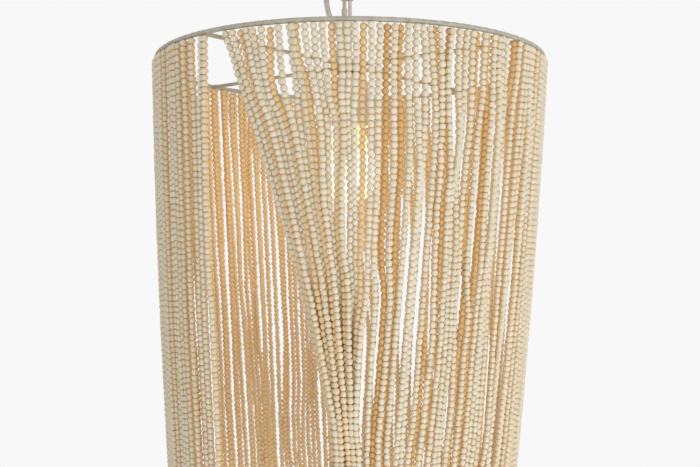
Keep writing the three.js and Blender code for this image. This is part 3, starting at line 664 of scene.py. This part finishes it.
class Basket:
    """Gathers the arrays of one panel of strands."""

    def __init__(self):
        self.points, self.faces, self.stored, self.kinds = [], [], [], []
        self.total = 0

    def add(self, points, faces, stored=None, kind=0):
        self.points.append(points)
        self.faces.append(faces + self.total)
        self.stored.append(np.zeros((len(points), 4)) if stored is None else stored)
        self.kinds.append(np.full(len(faces), kind))
        self.total += len(points)

    def add_thread(self, line, across=(0.0, 0.0, 1.0)):
        points, faces = tube(line, THREAD_RADIUS, THREAD_SIDES, across)
        self.add(points, faces, kind=1)

    def pour(self, name, node):
        points, faces = np.vstack(self.points), np.vstack(self.faces)
        return mesh_piece(name, points, faces, [bead_wood, thread_cotton], "pendant", [node],
                          np.concatenate(self.kinds), np.vstack(self.stored))


# %% [markdown]
# ## Thread over the hoops
# Each strand hangs from a loop that goes once round the hoop's rod, and a run of thread lies under the rod
# from loop to loop. The loops are what makes the small dark ticks along the painted hoop.
# %% Loops and runs of thread
LOOP_RADIUS = ROD_RADIUS + 0.00005
LOOP_TURN, LOW_LOOP_TURN = (-60, 240), (60, -240)
RUN_OUT, RUN_DOWN, RUN_OVER = 0.0012, 0.0026, 0.5


def loop_line(degrees, from_turn, to_turn, radius=HOOP_RADIUS, z=HOOP_Z, shift=0.0, steps=12):
    """A thread round the rod from one turn about it to another, at one place or at one for each step."""
    turn = np.radians(np.linspace(from_turn, to_turn, steps))
    line = polar(degrees, radius + LOOP_RADIUS * np.cos(turn), z + LOOP_RADIUS * np.sin(turn))
    line[:, 0] -= shift
    return line


def run_line(from_degrees, to_degrees, steps=9):
    """A thread along the underside of the top hoop."""
    return polar(np.linspace(from_degrees, to_degrees, steps), HOOP_RADIUS + RUN_OUT, HOOP_Z - RUN_DOWN)


def add_strand(basket, line, degrees, inner, spin=0.0, unshaded=1.0):
    outward = polar(degrees, 1.0)
    basket.add(*string_beads(line, outward, inner, spin, unshaded))
    basket.add_thread(line[::8], across=outward)


# %% [markdown]
# ## The curtain
# The curtain is made panel by panel, each standing for one node of the CAD model. A loop of thread has two
# legs, and where the second leg hangs inside the hoop its beads stay bare wood. An inner strand is joined
# by a thread across the hoop to the next outer one.
# %% Curtain lines, parted
SHARES = np.linspace(0.004, 0.994, 49)
COUNT = PANELS * PLACES_PER_PANEL
OUTER_HANG, INNER_HANG = (STAND_OFF, 0.0009), (-STAND_OFF, 0.0012)
angles = CURTAIN_FROM + CURTAIN_PITCH * np.arange(COUNT) + chance.uniform(-0.25, 0.25, COUNT)
inside = np.isin(np.arange(COUNT) % PLACES_PER_PANEL, INNER_PLACES)
hanging = np.array([curtain_line(angle, SHARES, *(INNER_HANG if inner else OUTER_HANG))
                    for angle, inner in zip(angles, inside)])
parted = part(hanging, polar(angles + 90, 1.0), PARTINGS)
print("strands slid by up to", round(1000 * float(np.abs(parted - hanging).max()), 1), "mm")

# %% [markdown]
# Each panel strings its beads along those lines, and adds the threads: loops round the rods for the outer
# strands, a slanting thread across each hoop for the inner ones, and the run under the top hoop.
# %% Curtain panels
LOW_ROD = (LOWER_RADIUS, HOOP_Z - DRUM_HEIGHT, LOWER_SHIFT)
SLANT_STEPS, SLANT_TURN, LOW_SLANT_TURN = 14, (-40, 220), (40, -220)
# How the painted shade on the inner strands fades from the front of the drum to its back.
SHADE_TO_UNSHADED = (-0.6, 0.2)


def curtain_panel(panel):
    basket = Basket()
    first = panel * PLACES_PER_PANEL
    for place in range(first, first + PLACES_PER_PANEL):
        top, foot = angles[place], angles[place] + twist_at(angles[place])
        # Inner strands at the front hang behind the outer ones, so their wood is painted browner there as
        # painted shade.
        unshaded = float(smoothstep(-math.cos(math.radians(top)), *SHADE_TO_UNSHADED)) if inside[place] else 1.0
        add_strand(basket, parted[place], top, inside[place], unshaded=unshaded)
        if inside[place]:
            beside = angles[place + 1]
            slant = np.linspace(beside, top, SLANT_STEPS)
            basket.add_thread(loop_line(slant, *SLANT_TURN, steps=SLANT_STEPS))
            slant = np.linspace(beside + twist_at(beside), foot, SLANT_STEPS)
            basket.add_thread(loop_line(slant, *LOW_SLANT_TURN, *LOW_ROD, SLANT_STEPS))
        else:
            basket.add_thread(loop_line(top, *LOOP_TURN), across=polar(top + 90, 1.0))
            basket.add_thread(loop_line(foot, *LOW_LOOP_TURN, *LOW_ROD), across=polar(foot + 90, 1.0))
    basket.add_thread(run_line(angles[first] - RUN_OVER, angles[first + PLACES_PER_PANEL - 1] + RUN_OVER))
    return basket.pour(f"beads_{panel + 1:02d}", f"bead_curtain_{panel + 1:02d}")


curtain = [curtain_panel(panel) for panel in range(PANELS)]
print("curtain of", len(curtain), "panels,", sum(len(p.data.polygons) for p in curtain), "faces")

# %% [markdown]
# ## The swept strands
# At the front left the strands are drawn to the right, and they gather in a bundle five strands wide and
# four deep. Each keeps its own place in the bundle: its stack says how far to the right, and its row how
# far out. Every second row stands a little to the side, where it fills the gaps of the row before it.
# Higher up, where the strands fan out, the rows lie closer together, and `BOWS` lets the last strands hang
# straighter before they turn in.
# %% Swept strand lines
SWEPT_FROM, SWEPT_TO = -33.6, 5.2
STACKS, PER_STACK, INNER_STACK_PLACE = 5, 4, 2
SWEPT_NUMBERS = np.arange(STACKS * PER_STACK)
SWEPT_PITCH = (SWEPT_TO - SWEPT_FROM) / (STACKS * PER_STACK - 1)
STACK_PITCH, ROW_PITCH = 0.005, 0.0053
BUNDLE_LEFT = 0.003
GATHER, SPREAD_END = 0.74, 0.2
BOWS = 0.07 - 0.37 * smoothstep(SWEPT_NUMBERS, 13, 19)
FIRST_ROW = 0.0059
STAGGER = 0.0025
FAN_DEPTH, FAN_END = 0.2, (0.42, 0.78)
DRIFT_ACROSS, DRIFT_OUT = 0.0008, 0.0004
swept_angles = SWEPT_FROM + SWEPT_NUMBERS * SWEPT_PITCH
swept_inside = SWEPT_NUMBERS % PER_STACK == INNER_STACK_PLACE


def row_offset(row):
    return FIRST_ROW + (1 - row) * ROW_PITCH if row < 2 else -FIRST_ROW - (row - 2) * ROW_PITCH


def swept_line(number, shares):
    """The line of one swept strand, from the top hoop into the bundle and on to the lower hoop."""
    stack, place = divmod(number, PER_STACK)
    row = PER_STACK - 1 - place
    start = polar(swept_angles[number], HOOP_RADIUS + (-STAND_OFF if swept_inside[number] else STAND_OFF))
    goal = -BUNDLE_LEFT + (stack - (STACKS - 1) / 2) * STACK_PITCH + (0.5 - row % 2) * STAGGER
    goal_radius = HOOP_RADIUS + (LOWER_RADIUS - HOOP_RADIUS) * GATHER
    across = np.minimum(shares / GATHER, 1.0)
    beyond = np.maximum((shares - GATHER) / (1 - GATHER), 0.0)
    bowed = across + BOWS[number] * np.sin(math.pi * across)
    x = start[0] + (goal - start[0]) * bowed
    y = start[1] + (-goal_radius - start[1]) * across + (goal_radius - LOWER_RADIUS) * beyond
    fan = FAN_DEPTH + (1 - FAN_DEPTH) * smoothstep(shares, *FAN_END)
    y = y - row_offset(row) * (np.minimum(1.0, shares / SPREAD_END) * fan)
    x, y = x + drift(shares, DRIFT_ACROSS), y + drift(shares, DRIFT_OUT)
    return np.stack([x, y, HOOP_Z - DRUM_HEIGHT * shares], 1)


# %% [markdown]
# Rounding the line with a short running average takes out the last corners, which a real string can't have.
# %% Swept lines, softened and parted
SWEPT_SHARES = np.linspace(0.004, 1.008, 97)
FAN_PARTINGS = [
    (283, 24, 292, 100, 5.0), (300, 24, 303, 60, 2.4), (327, 24, 328, 45, 1.8),
    (274, 26, 276, 90, 1.4), (332, 120, 333, 205, 1.4), (346, 170, 346, 250, 1.4),
    (358, 104, 358, 195, 0.7), (366, 325, 360, 427, 2.6), (339, 65, 339, 71, 1.2),
]


def softened(line, reach=5):
    """The same line with its corners eased, and its ends kept."""
    padded = np.vstack([line[:1]] * reach + [line] + [line[-1:]] * reach)
    window = np.ones(2 * reach + 1) / (2 * reach + 1)
    eased = np.stack([np.convolve(padded[:, k], window, "valid") for k in range(3)], 1)
    count = np.arange(len(line))
    hold = smoothstep(count, 0, reach) * smoothstep(count[::-1], 0, reach)
    return line + (eased - line) * hold[:, None]


swept_lines = np.array([softened(swept_line(number, SWEPT_SHARES)) for number in SWEPT_NUMBERS])
gathered = part(swept_lines, polar(0.5 * swept_angles + 90, 1.0), FAN_PARTINGS)
print("swept strands slid by up to", round(1000 * float(np.abs(gathered - swept_lines).max()), 1), "mm")

# %% [markdown]
# Each stack of four strands is one piece, as in the CAD model. A swept strand is twisted on its way into
# the bundle, so its beads roll round it by a chance angle towards its foot.
# %% Swept panels
MOST_ROLL = 1.5


def swept_panel(stack):
    basket = Basket()
    first = stack * PER_STACK
    for place in range(first, first + PER_STACK):
        degrees = swept_angles[place]
        add_strand(basket, gathered[place], degrees * 0.5, swept_inside[place],
                   chance.uniform(-MOST_ROLL, MOST_ROLL))
        basket.add_thread(loop_line(degrees, *LOOP_TURN), across=polar(degrees + 90, 1.0))
    last = swept_angles[first + PER_STACK - 1]
    basket.add_thread(run_line(swept_angles[first] - RUN_OVER, last + RUN_OVER))
    return basket.pour(f"swept_beads_{stack + 1}", f"swept_strands_{stack + 1}")


swept = [swept_panel(stack) for stack in range(STACKS)]
print("swept bundle of", len(swept), "stacks")

# %% [markdown]
# ## The tie
# A few turns of thicker thread hold the bundle together below the picture's edge. It is one long thread
# wound round and round, so a single tube along a rising rounded rectangle makes it.
# %% Tie
def wound_tie(turns=8, steps_each=48, thickness=0.00075, corner=0.35):
    low, high = (Vector(corner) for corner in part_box("drape_tie"))
    middle = (low + high) / 2
    half_width = (high.x - low.x) / 2 - thickness
    half_depth = (high.y - low.y) / 2 - thickness
    angle = np.linspace(0, 2 * math.pi * turns, steps_each * turns)
    x, y = (np.sign(c) * np.abs(c) ** corner for c in (np.cos(angle), np.sin(angle)))
    rise = np.linspace(low.z + thickness, high.z - thickness, len(angle))
    line = np.stack([middle.x + half_width * x, middle.y + half_depth * y, rise], 1)
    points, faces = tube(line, thickness, 6)
    return mesh_piece("tie_winding", points, faces, [thread_cotton], "pendant", ["drape_tie"])


tie = wound_tie()
print("tie of", len(tie.data.polygons), "faces")

# %% [markdown]
# ## Hoops, hub and cup
# The CAD gives these the right size with few faces. Here the same profiles are turned again with many more,
# and edges are rounded where a press or a lathe would round them.
# %% Hoops
def hoop_piece(name, node, radius, shift, z, sides=16, steps=256):
    degrees = np.arange(steps) * 360 / steps
    turn = around(sides)
    rings = [polar(d, radius + ROD_RADIUS * np.cos(turn), z + ROD_RADIUS * np.sin(turn)) for d in degrees]
    return ringed_piece(name, np.array(rings) - [shift, 0, 0], True, satin_paint, "pendant", [node])


top_hoop = hoop_piece("hoop_rod_top", "top_hoop", HOOP_RADIUS, 0.0, HOOP_Z)
lower_hoop = hoop_piece("hoop_rod_low", "lower_hoop", LOWER_RADIUS, LOWER_SHIFT, HOOP_Z - DRUM_HEIGHT)
print("hoops of", len(top_hoop.data.polygons), "faces each")

# %% [markdown]
# Pressed and turned shells share one need: a quarter round between two flats. `rounded` gives its points,
# and `shell_profile` the whole outline of a shell with its thin rolled rim.
# %% Round corners and shells
SHEET, LIP = 0.0012, 0.0004


def rounded(radius, height, fillet, from_degrees, to_degrees, steps=8):
    """Points of a round corner about a centre, for a turned profile."""
    turns = np.radians(np.linspace(from_degrees, to_degrees, steps))
    return [(radius + fillet * math.cos(t), height + fillet * math.sin(t)) for t in turns]


def shell_profile(bore, radius, corner, flat, rim):
    """The outline of a round shell, from its bored flat side to its rim and back inside."""
    up = math.copysign(1, flat - rim)
    middle, height = radius - corner, flat - up * corner
    return [(bore, flat), *rounded(middle, height, corner, 90 * up, 0), (radius, rim + up * LIP),
            (radius - SHEET / 2, rim), (radius - SHEET, rim + up * LIP),
            *rounded(middle, height, corner - SHEET, 0, 90 * up), (bore, flat - up * SHEET)]


# %% [markdown]
# A hole through the side of a turned part can't come from the lathe. `drilled` cuts it with a Boolean
# modifier, whose tool is a short rod, and keeps the result as a plain mesh. The crisp edges are set again
# on the cut piece.
# %% Drilled holes
def drilled(piece, start, end, radius, sides=32):
    """The piece with a round hole from one point to another."""
    points, faces = tube(np.linspace(start, end, 2), radius, sides, across=(0.3, 0.5, 0.8))
    ends = [list(range(sides))[::-1], list(range(sides, 2 * sides))]
    data = bpy.data.meshes.new("drill")
    data.from_pydata(points.tolist(), [], faces.tolist() + ends)
    drill = put("drill", data)
    piece.modifiers.clear()
    cut = piece.modifiers.new("hole", "BOOLEAN")
    cut.object, cut.solver = drill, "EXACT"
    bpy.context.view_layer.update()
    finished = piece.evaluated_get(bpy.context.evaluated_depsgraph_get())
    piece.data = bpy.data.meshes.new_from_object(finished)
    piece.modifiers.clear()
    bpy.data.objects.remove(drill)
    return crisp(piece)


# %% [markdown]
# The canopy is a pressed dish with a soft corner, and the cup is a smaller one the other way up. The hub is
# a turned boss, chamfered at both ends, with a cross hole for its little screw. The screw's near-black finish
# is painted shade: it stands for the dark of the hole it sits in.
# %% Canopy, cup and hub
CANOPY_RADIUS, CANOPY_DEPTH, CANOPY_CORNER = 0.0635, 0.027, 0.012
CUP_RADIUS, CUP_CORNER, CUP_TOP, CUP_RIM = 0.0205, 0.006, HOOP_Z - 0.014, HOOP_Z - 0.067
GROMMET_X, DRILL_LOW, DRILL_HIGH = -0.0263, -0.03, -0.02
NIPPLE_BORE, SIDE_BORE, CORE = 0.0083, 0.0053, 0.0002

dish = shell_profile(NIPPLE_BORE, CANOPY_RADIUS, CANOPY_CORNER, -CANOPY_DEPTH, 0.0)
canopy = turned_piece("canopy_dish", dish, satin_paint, "canopy", ["canopy_shell"], sides=96)
drilled(canopy, (GROMMET_X, 0, DRILL_LOW), (GROMMET_X, 0, DRILL_HIGH), SIDE_BORE)
bell = shell_profile(SIDE_BORE, CUP_RADIUS, CUP_CORNER, CUP_TOP, CUP_RIM)
socket_cup = turned_piece("cup_shell", bell, cup_enamel, "pendant", ["socket_cup"])

HUB_RADIUS, HUB_TOP, HUB_BOTTOM, HUB_EDGE = 0.018, HOOP_Z + 0.005, HOOP_Z - 0.008, 0.0015
SCREW_DEGREES, SCREW_Z = -44, HOOP_Z - 0.0043
HOLE_FLOOR, HOLE_MOUTH, HOLE_RADIUS = 0.0128, 0.02, 0.0017
hub = turned_piece(
    "hub_boss",
    [(CORE, HUB_BOTTOM), *rounded(HUB_RADIUS - HUB_EDGE, HUB_BOTTOM + HUB_EDGE, HUB_EDGE, -90, 0, 4),
     *rounded(HUB_RADIUS - HUB_EDGE, HUB_TOP - HUB_EDGE, HUB_EDGE, 0, 90, 4), (CORE, HUB_TOP)],
    satin_paint, "pendant", ["hub"])
drilled(hub, polar(SCREW_DEGREES, HOLE_FLOOR, SCREW_Z), polar(SCREW_DEGREES, HOLE_MOUTH, SCREW_Z),
        HOLE_RADIUS)
print("canopy of", len(canopy.data.polygons), "faces, hub of", len(hub.data.polygons))

# %% [markdown]
# ## Knurls, ribs and twisted wire
# Some round parts aren't the same all the way round. A knurled nut, a ribbed cord relief, a wire rope and a
# lamp cap all have a radius that depends on the angle and the height, so one maker asks a small rule for
# the radius of each ring. The collar nut comes first. Fingers turn it, so its side is fluted.
# %% Knurled collar
COLLAR_LOW, COLLAR_HIGH, COLLAR_RADIUS = -0.0343, -0.0273, 0.013
FLUTES, FLUTE_DEPTH, FLUTE_EDGE, CHAMFER = 40, 0.00035, (0.0011, 0.0017), 0.001


def carved_piece(name, heights, rule, material, body, nodes, centre=(0.0, 0.0), sides=48, core=CORE):
    """An upright round part whose radius at each height and angle comes from a rule."""
    angle = around(sides)
    levels = [heights[0], *heights, heights[-1]]
    ends = (0, len(levels) - 1)
    rings = [ring_at(centre, core if count in ends else rule(angle, z), angle, z)
             for count, z in enumerate(levels)]
    return crisp(ringed_piece(name, rings, True, material, body, nodes), 50)


def knurled(angle, z):
    """A round nut with fine flutes between plain, chamfered ends."""
    edge = min(z - COLLAR_LOW, COLLAR_HIGH - z)
    plain = COLLAR_RADIUS - max(0.0, CHAMFER - edge)
    depth = FLUTE_DEPTH * float(smoothstep(edge, *FLUTE_EDGE))
    return plain - depth * (0.5 + 0.5 * np.cos(FLUTES * angle))


collar = carved_piece("collar_knurled", np.linspace(COLLAR_LOW, COLLAR_HIGH, 15), knurled, satin_paint,
                      "canopy", ["collar_nut"], sides=240, core=NIPPLE_BORE)
print("collar of", len(collar.data.polygons), "faces")

# %% [markdown]
# The cord leaves the hub through a soft tapered relief, whose grooves let it bend. The cord's skin is a
# tube along the route from the start of this lesson.
# %% Cord relief and cord
RELIEF_LOW, RELIEF_HIGH = HUB_TOP + 0.0003, HOOP_Z + 0.025
RELIEF_FOOT, RELIEF_TIP = 0.005, 0.0037
RIB_PITCH, RIB_DEPTH, RIB_EDGE, PLAIN_FOOT = 0.0028, 0.0006, (0.2, 0.7), 0.0035


def ribbed(angle, z):
    """A cord relief that tapers upwards, with a groove every few millimetres above a plain foot."""
    taper = RELIEF_FOOT + (RELIEF_TIP - RELIEF_FOOT) * (z - RELIEF_LOW) / (RELIEF_HIGH - RELIEF_LOW)
    groove = float(smoothstep(math.cos((z - RELIEF_LOW) * 2 * math.pi / RIB_PITCH), *RIB_EDGE))
    return taper - RIB_DEPTH * groove * (z > RELIEF_LOW + PLAIN_FOOT)


relief = carved_piece("relief_ribbed", np.linspace(RELIEF_LOW, RELIEF_HIGH + LIP, 57), ribbed, cord_vinyl,
                      "pendant", ["strain_relief"], CORD_ROUTE[0][:2])
skin, skin_faces = tube(cord_line, CORD_RADIUS, 24, across=(0.2, 1.0, 0.0))
power_cord = mesh_piece("cord_skin", skin, skin_faces, [cord_vinyl], "pendant", ["power_cord"])
print("relief of", len(relief.data.polygons), "faces, cord of", len(power_cord.data.polygons))

# %% [markdown]
# Two cables carry the lamp. The main one is a bare wire rope, six wires laid round each other, and the
# second is the same rope in a cream coat, with a loose sleeve over it near the hub.
# %% Cables and sleeve
CABLE_RADIUS, LAY, WIRE_DEPTH = 0.0021, 0.016, 0.00022
CABLE_FOOT, CABLE_HEAD, CLAMP_TOP = -0.1307, -0.0313, -0.042
SECOND_CABLE = (-0.0062, 0.0)
ROLL_DEPTH, ROLL_HEIGHT = 0.0005, 0.0014
SLEEVE_LOW, SLEEVE_HIGH, SLEEVE_RADIUS, SLEEVE_BORE = HOOP_Z + 0.04, HOOP_Z + 0.064, 0.0031, 0.0024


def laid_rope(angle, z):
    """Six wires laid round each other, once round in every sixteen millimetres."""
    return CABLE_RADIUS - WIRE_DEPTH * (1 - np.abs(np.cos(3 * (angle - 2 * math.pi * z / LAY))))


def rolled_sleeve(angle, z):
    """A plain sleeve whose two ends are rolled a little inwards."""
    to_end = min(z - SLEEVE_LOW, SLEEVE_HIGH - z)
    return SLEEVE_RADIUS - ROLL_DEPTH * (1 - float(smoothstep(to_end, 0.0, ROLL_HEIGHT)))


def plain_coat(angle, z):
    """A coated cable, which is round and even."""
    return CABLE_RADIUS


main_cable = carved_piece("cable_rope", np.linspace(CABLE_FOOT, CABLE_HEAD, 150), laid_rope, bright_rope,
                          "pendant", ["suspension_cable"], sides=36)
second_cable = carved_piece("cable_coated", np.linspace(CABLE_FOOT, CLAMP_TOP, 12), plain_coat, sleeve_cream,
                            "pendant", ["safety_cable"], SECOND_CABLE, sides=32)
sleeve = carved_piece("sleeve_rolled", np.linspace(SLEEVE_LOW, SLEEVE_HIGH, 33), rolled_sleeve, sleeve_cream,
                      "pendant", ["safety_sleeve"], SECOND_CABLE, 32, SLEEVE_BORE)
print("cables of", [len(piece.data.polygons) for piece in (main_cable, second_cable, sleeve)], "faces")

# %% [markdown]
# The arms are plain rods welded between hub and hoop. A weld leaves a small swelling at each end, which a
# tube whose radius grows near its ends shows well enough.
# %% Arms
ARM_RADIUS, ARM_SINK, WELD_RISE, WELD_REACH = 0.0021, 0.0004, 0.0007, 0.0022
ARM_PLACES = {"front_left": 166.5, "front_right": 25, "back_right": 70, "back_left": 121}


def welded_arm(name, place, sides=16, steps=60):
    degrees = CURTAIN_FROM + CURTAIN_PITCH * place
    reach = np.linspace(HUB_RADIUS - ARM_SINK, HOOP_RADIUS - ROD_RADIUS, steps)
    to_end = np.minimum(reach - reach[0], reach[-1] - reach)
    thick = ARM_RADIUS + WELD_RISE * np.exp(-((to_end / WELD_REACH) ** 2))
    angle = around(sides)
    across = polar(degrees + 90, 1.0)
    circle = np.cos(angle)[:, None] * across + np.sin(angle)[:, None] * [0, 0, 1]
    rings = [polar(degrees, r, HOOP_Z) + t * circle for r, t in zip(reach, thick)]
    return ringed_piece(f"{name}_welded", rings, False, satin_paint, "pendant", [name])


arms = [welded_arm(f"arm_{side}", place) for side, place in ARM_PLACES.items()]
print("welded", len(arms), "arms")

# %% [markdown]
# ## The bulb's glass and cap
# The envelope is a smooth pear, so a finer turned profile follows the CAD's points through a curve.
# %% Bulb
BULB_RADIUS = 0.030
GLASS_SHARES = [(0.42, 0.0), (0.45, 0.05), (0.56, 0.14), (0.72, 0.25), (0.88, 0.37), (0.98, 0.5), (1.0, 0.61),
                (0.965, 0.73), (0.865, 0.835), (0.68, 0.925), (0.4, 0.982), (0.02, 1.0)]
curve = smooth_route([(BULB_RADIUS * r, 0.0, BULB_NECK_Z - BULB_LENGTH * z) for r, z in GLASS_SHARES], 5)
pear = [(max(r, 0.0), z) for r, _, z in curve] + [(2 * CORE, BULB_NECK_Z)]
bulb_glass = turned_piece("bulb_envelope", pear, lit_glass, "bulb", ["bulb_glass"])
print("bulb of", len(bulb_glass.data.polygons), "faces")

# %% [markdown]
# The cap's thread is a rounded wave wound down the brass, between a plain skirt and a top that domes in.
# %% Cap
CAP_LOW, CAP_HIGH, CAP_RADIUS = -0.1897, -0.1657, 0.0129
THREAD_PITCH, THREAD_DEPTH, DOME = 0.0036, 0.0005, 0.0075
SKIRT, THREAD_START, THREAD_END, DOME_START = 0.003, 0.005, 0.0055, 0.004


def wound_thread(angle, z):
    """A lamp cap: a rounded thread between a plain skirt and a domed top."""
    wave = np.cos(2 * math.pi * (z / THREAD_PITCH) - angle)
    begun = smoothstep(z, CAP_LOW + SKIRT, CAP_LOW + THREAD_START)
    over = smoothstep(z, CAP_HIGH - THREAD_END, CAP_HIGH - DOME_START)
    domed = float(smoothstep(z, CAP_HIGH - DOME_START, CAP_HIGH))
    return CAP_RADIUS - THREAD_DEPTH * float(begun * (1 - over)) * (1 - wave) - DOME * domed


cap = carved_piece("cap_threaded", np.linspace(CAP_LOW, CAP_HIGH, 81), wound_thread, cap_brass, "bulb",
                   ["bulb_base"], sides=48)
print("cap of", len(cap.data.polygons), "faces")

# %% [markdown]
# ## Finishes on the parts that keep their CAD shape
# Bars, bushes and blocks already have their true shape, so they only change material.
# %% Finishes on CAD parts
CAD_FINISHES = {
    "mounting_plate": drawn_steel, "hanger_nipple": drawn_steel, "cord_grommet": dark_nylon_and_hole_shade,
    "terminal_block": glazed_white, "cable_ball": drawn_steel, "cable_clamp": bright_rope,
    # The set screw's near-black finish is painted shade for the hole it sits in.
    "set_screw": dark_nylon_and_hole_shade, "socket_stem": drawn_steel, "lamp_holder": glazed_white,
}
for node, material in CAD_FINISHES.items():
    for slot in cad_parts[node].material_slots:
        slot.material = material
print("finished", len(CAD_FINISHES), "CAD parts")

# %% [markdown]
# ## Floor, backdrop and light
# The lamp hangs well above a pale floor. What the camera sees behind it is a flat near-white, also in glass
# and metal, but the light on the lamp stays at a plain level: an even sky, four large soft lamps and the
# bulb itself.
# %% Stage
BACKDROP = paint_chip(248, 248, 248)
FLOOR_Z = -1.75
FLOOR_RADIUS = 4.5

rim = ring_at((0.0, 0.0), FLOOR_RADIUS, around(64), FLOOR_Z)
floor_data = bpy.data.meshes.new("floor")
floor_data.from_pydata(rim.tolist(), [], [tuple(range(64))])
floor_data.materials.append(two_tone("pale_floor", 6.0, (236, 236, 235), (242, 242, 241))[0])
floor = put("floor", floor_data)
print("floor", -FLOOR_Z, "m below the ceiling")

# %% [markdown]
# The world gives two things at once: even light on the lamp, and the pale background. A Light Path node
# tells the two apart, so the background can be near white without adding any light.
# %% World
SKY_STRENGTH = 0.74

world = bpy.data.worlds.new("studio")
bpy.context.scene.world = world
world.use_nodes = True
sky = Wire(world.node_tree)
straight, mirrored, through = (sky.node("ShaderNodeLightPath", output=f"Is {kind} Ray")
                               for kind in ("Camera", "Glossy", "Transmission"))
shown = sky.math("MAXIMUM", sky.math("MAXIMUM", straight, mirrored), through)
light = sky.node("ShaderNodeBackground", {"Color": (1.0, 0.99, 0.97, 1.0), "Strength": SKY_STRENGTH})
pale = sky.node("ShaderNodeBackground", {"Color": BACKDROP, "Strength": 1.0})
sky_mix = sky.node("ShaderNodeMixShader", {0: shown, 1: light, 2: pale})
world.node_tree.links.new(sky_mix.socket, world.node_tree.nodes["World Output"].inputs["Surface"])

bpy.context.scene.view_settings.view_transform = "Standard"
print("sky of strength", SKY_STRENGTH)

# %% [markdown]
# Four large soft lamps shape the drum: a key from the right, a weak fill from the left, one in front, and
# one behind that shines through the gaps. The bulb lights the strands from inside a little, and its own
# glass casts no shadow.
# %% Lamps
def lamp(name, kind, place, watts):
    made = put(name, bpy.data.lights.new(name, kind))
    made.data.energy = watts
    made.location = place
    return made


def soft_lamp(name, place, size, watts):
    """A large square lamp that faces the middle of the drum."""
    made = lamp(name, "AREA", place, watts)
    made.data.size = size
    made.rotation_euler = (DRUM_MIDDLE - Vector(place)).to_track_quat("-Z", "Y").to_euler()


DRUM_MIDDLE = Vector((0.0, 0.0, HOOP_Z - DRUM_HEIGHT / 2))
soft_lamp("key_lamp", (1.5, -1.3, -0.6), 1.6, 11)
soft_lamp("front_lamp", (0.5, -1.8, -1.1), 1.3, 10)
soft_lamp("fill_lamp", (-1.6, -1.2, 0.1), 1.8, 1.5)
soft_lamp("back_lamp", (0.3, 1.9, 0.6), 1.8, 10)

bulb_light = lamp("bulb_light", "POINT", (0.0, 0.0, BULB_NECK_Z - 0.6 * BULB_LENGTH), 0.6)
bulb_light.data.color = (1.0, 0.86, 0.66)
bulb_light.data.shadow_soft_size = 0.025
bulb_glass.visible_shadow = False
print("lamps:", [light.name for light in bpy.data.lights])

# %% [markdown]
# ## The end
# Last, the scene's view layer is brought up to date. The dressed model has to stay inside the
# CAD's box.
# %% Finish
bpy.context.view_layer.update()
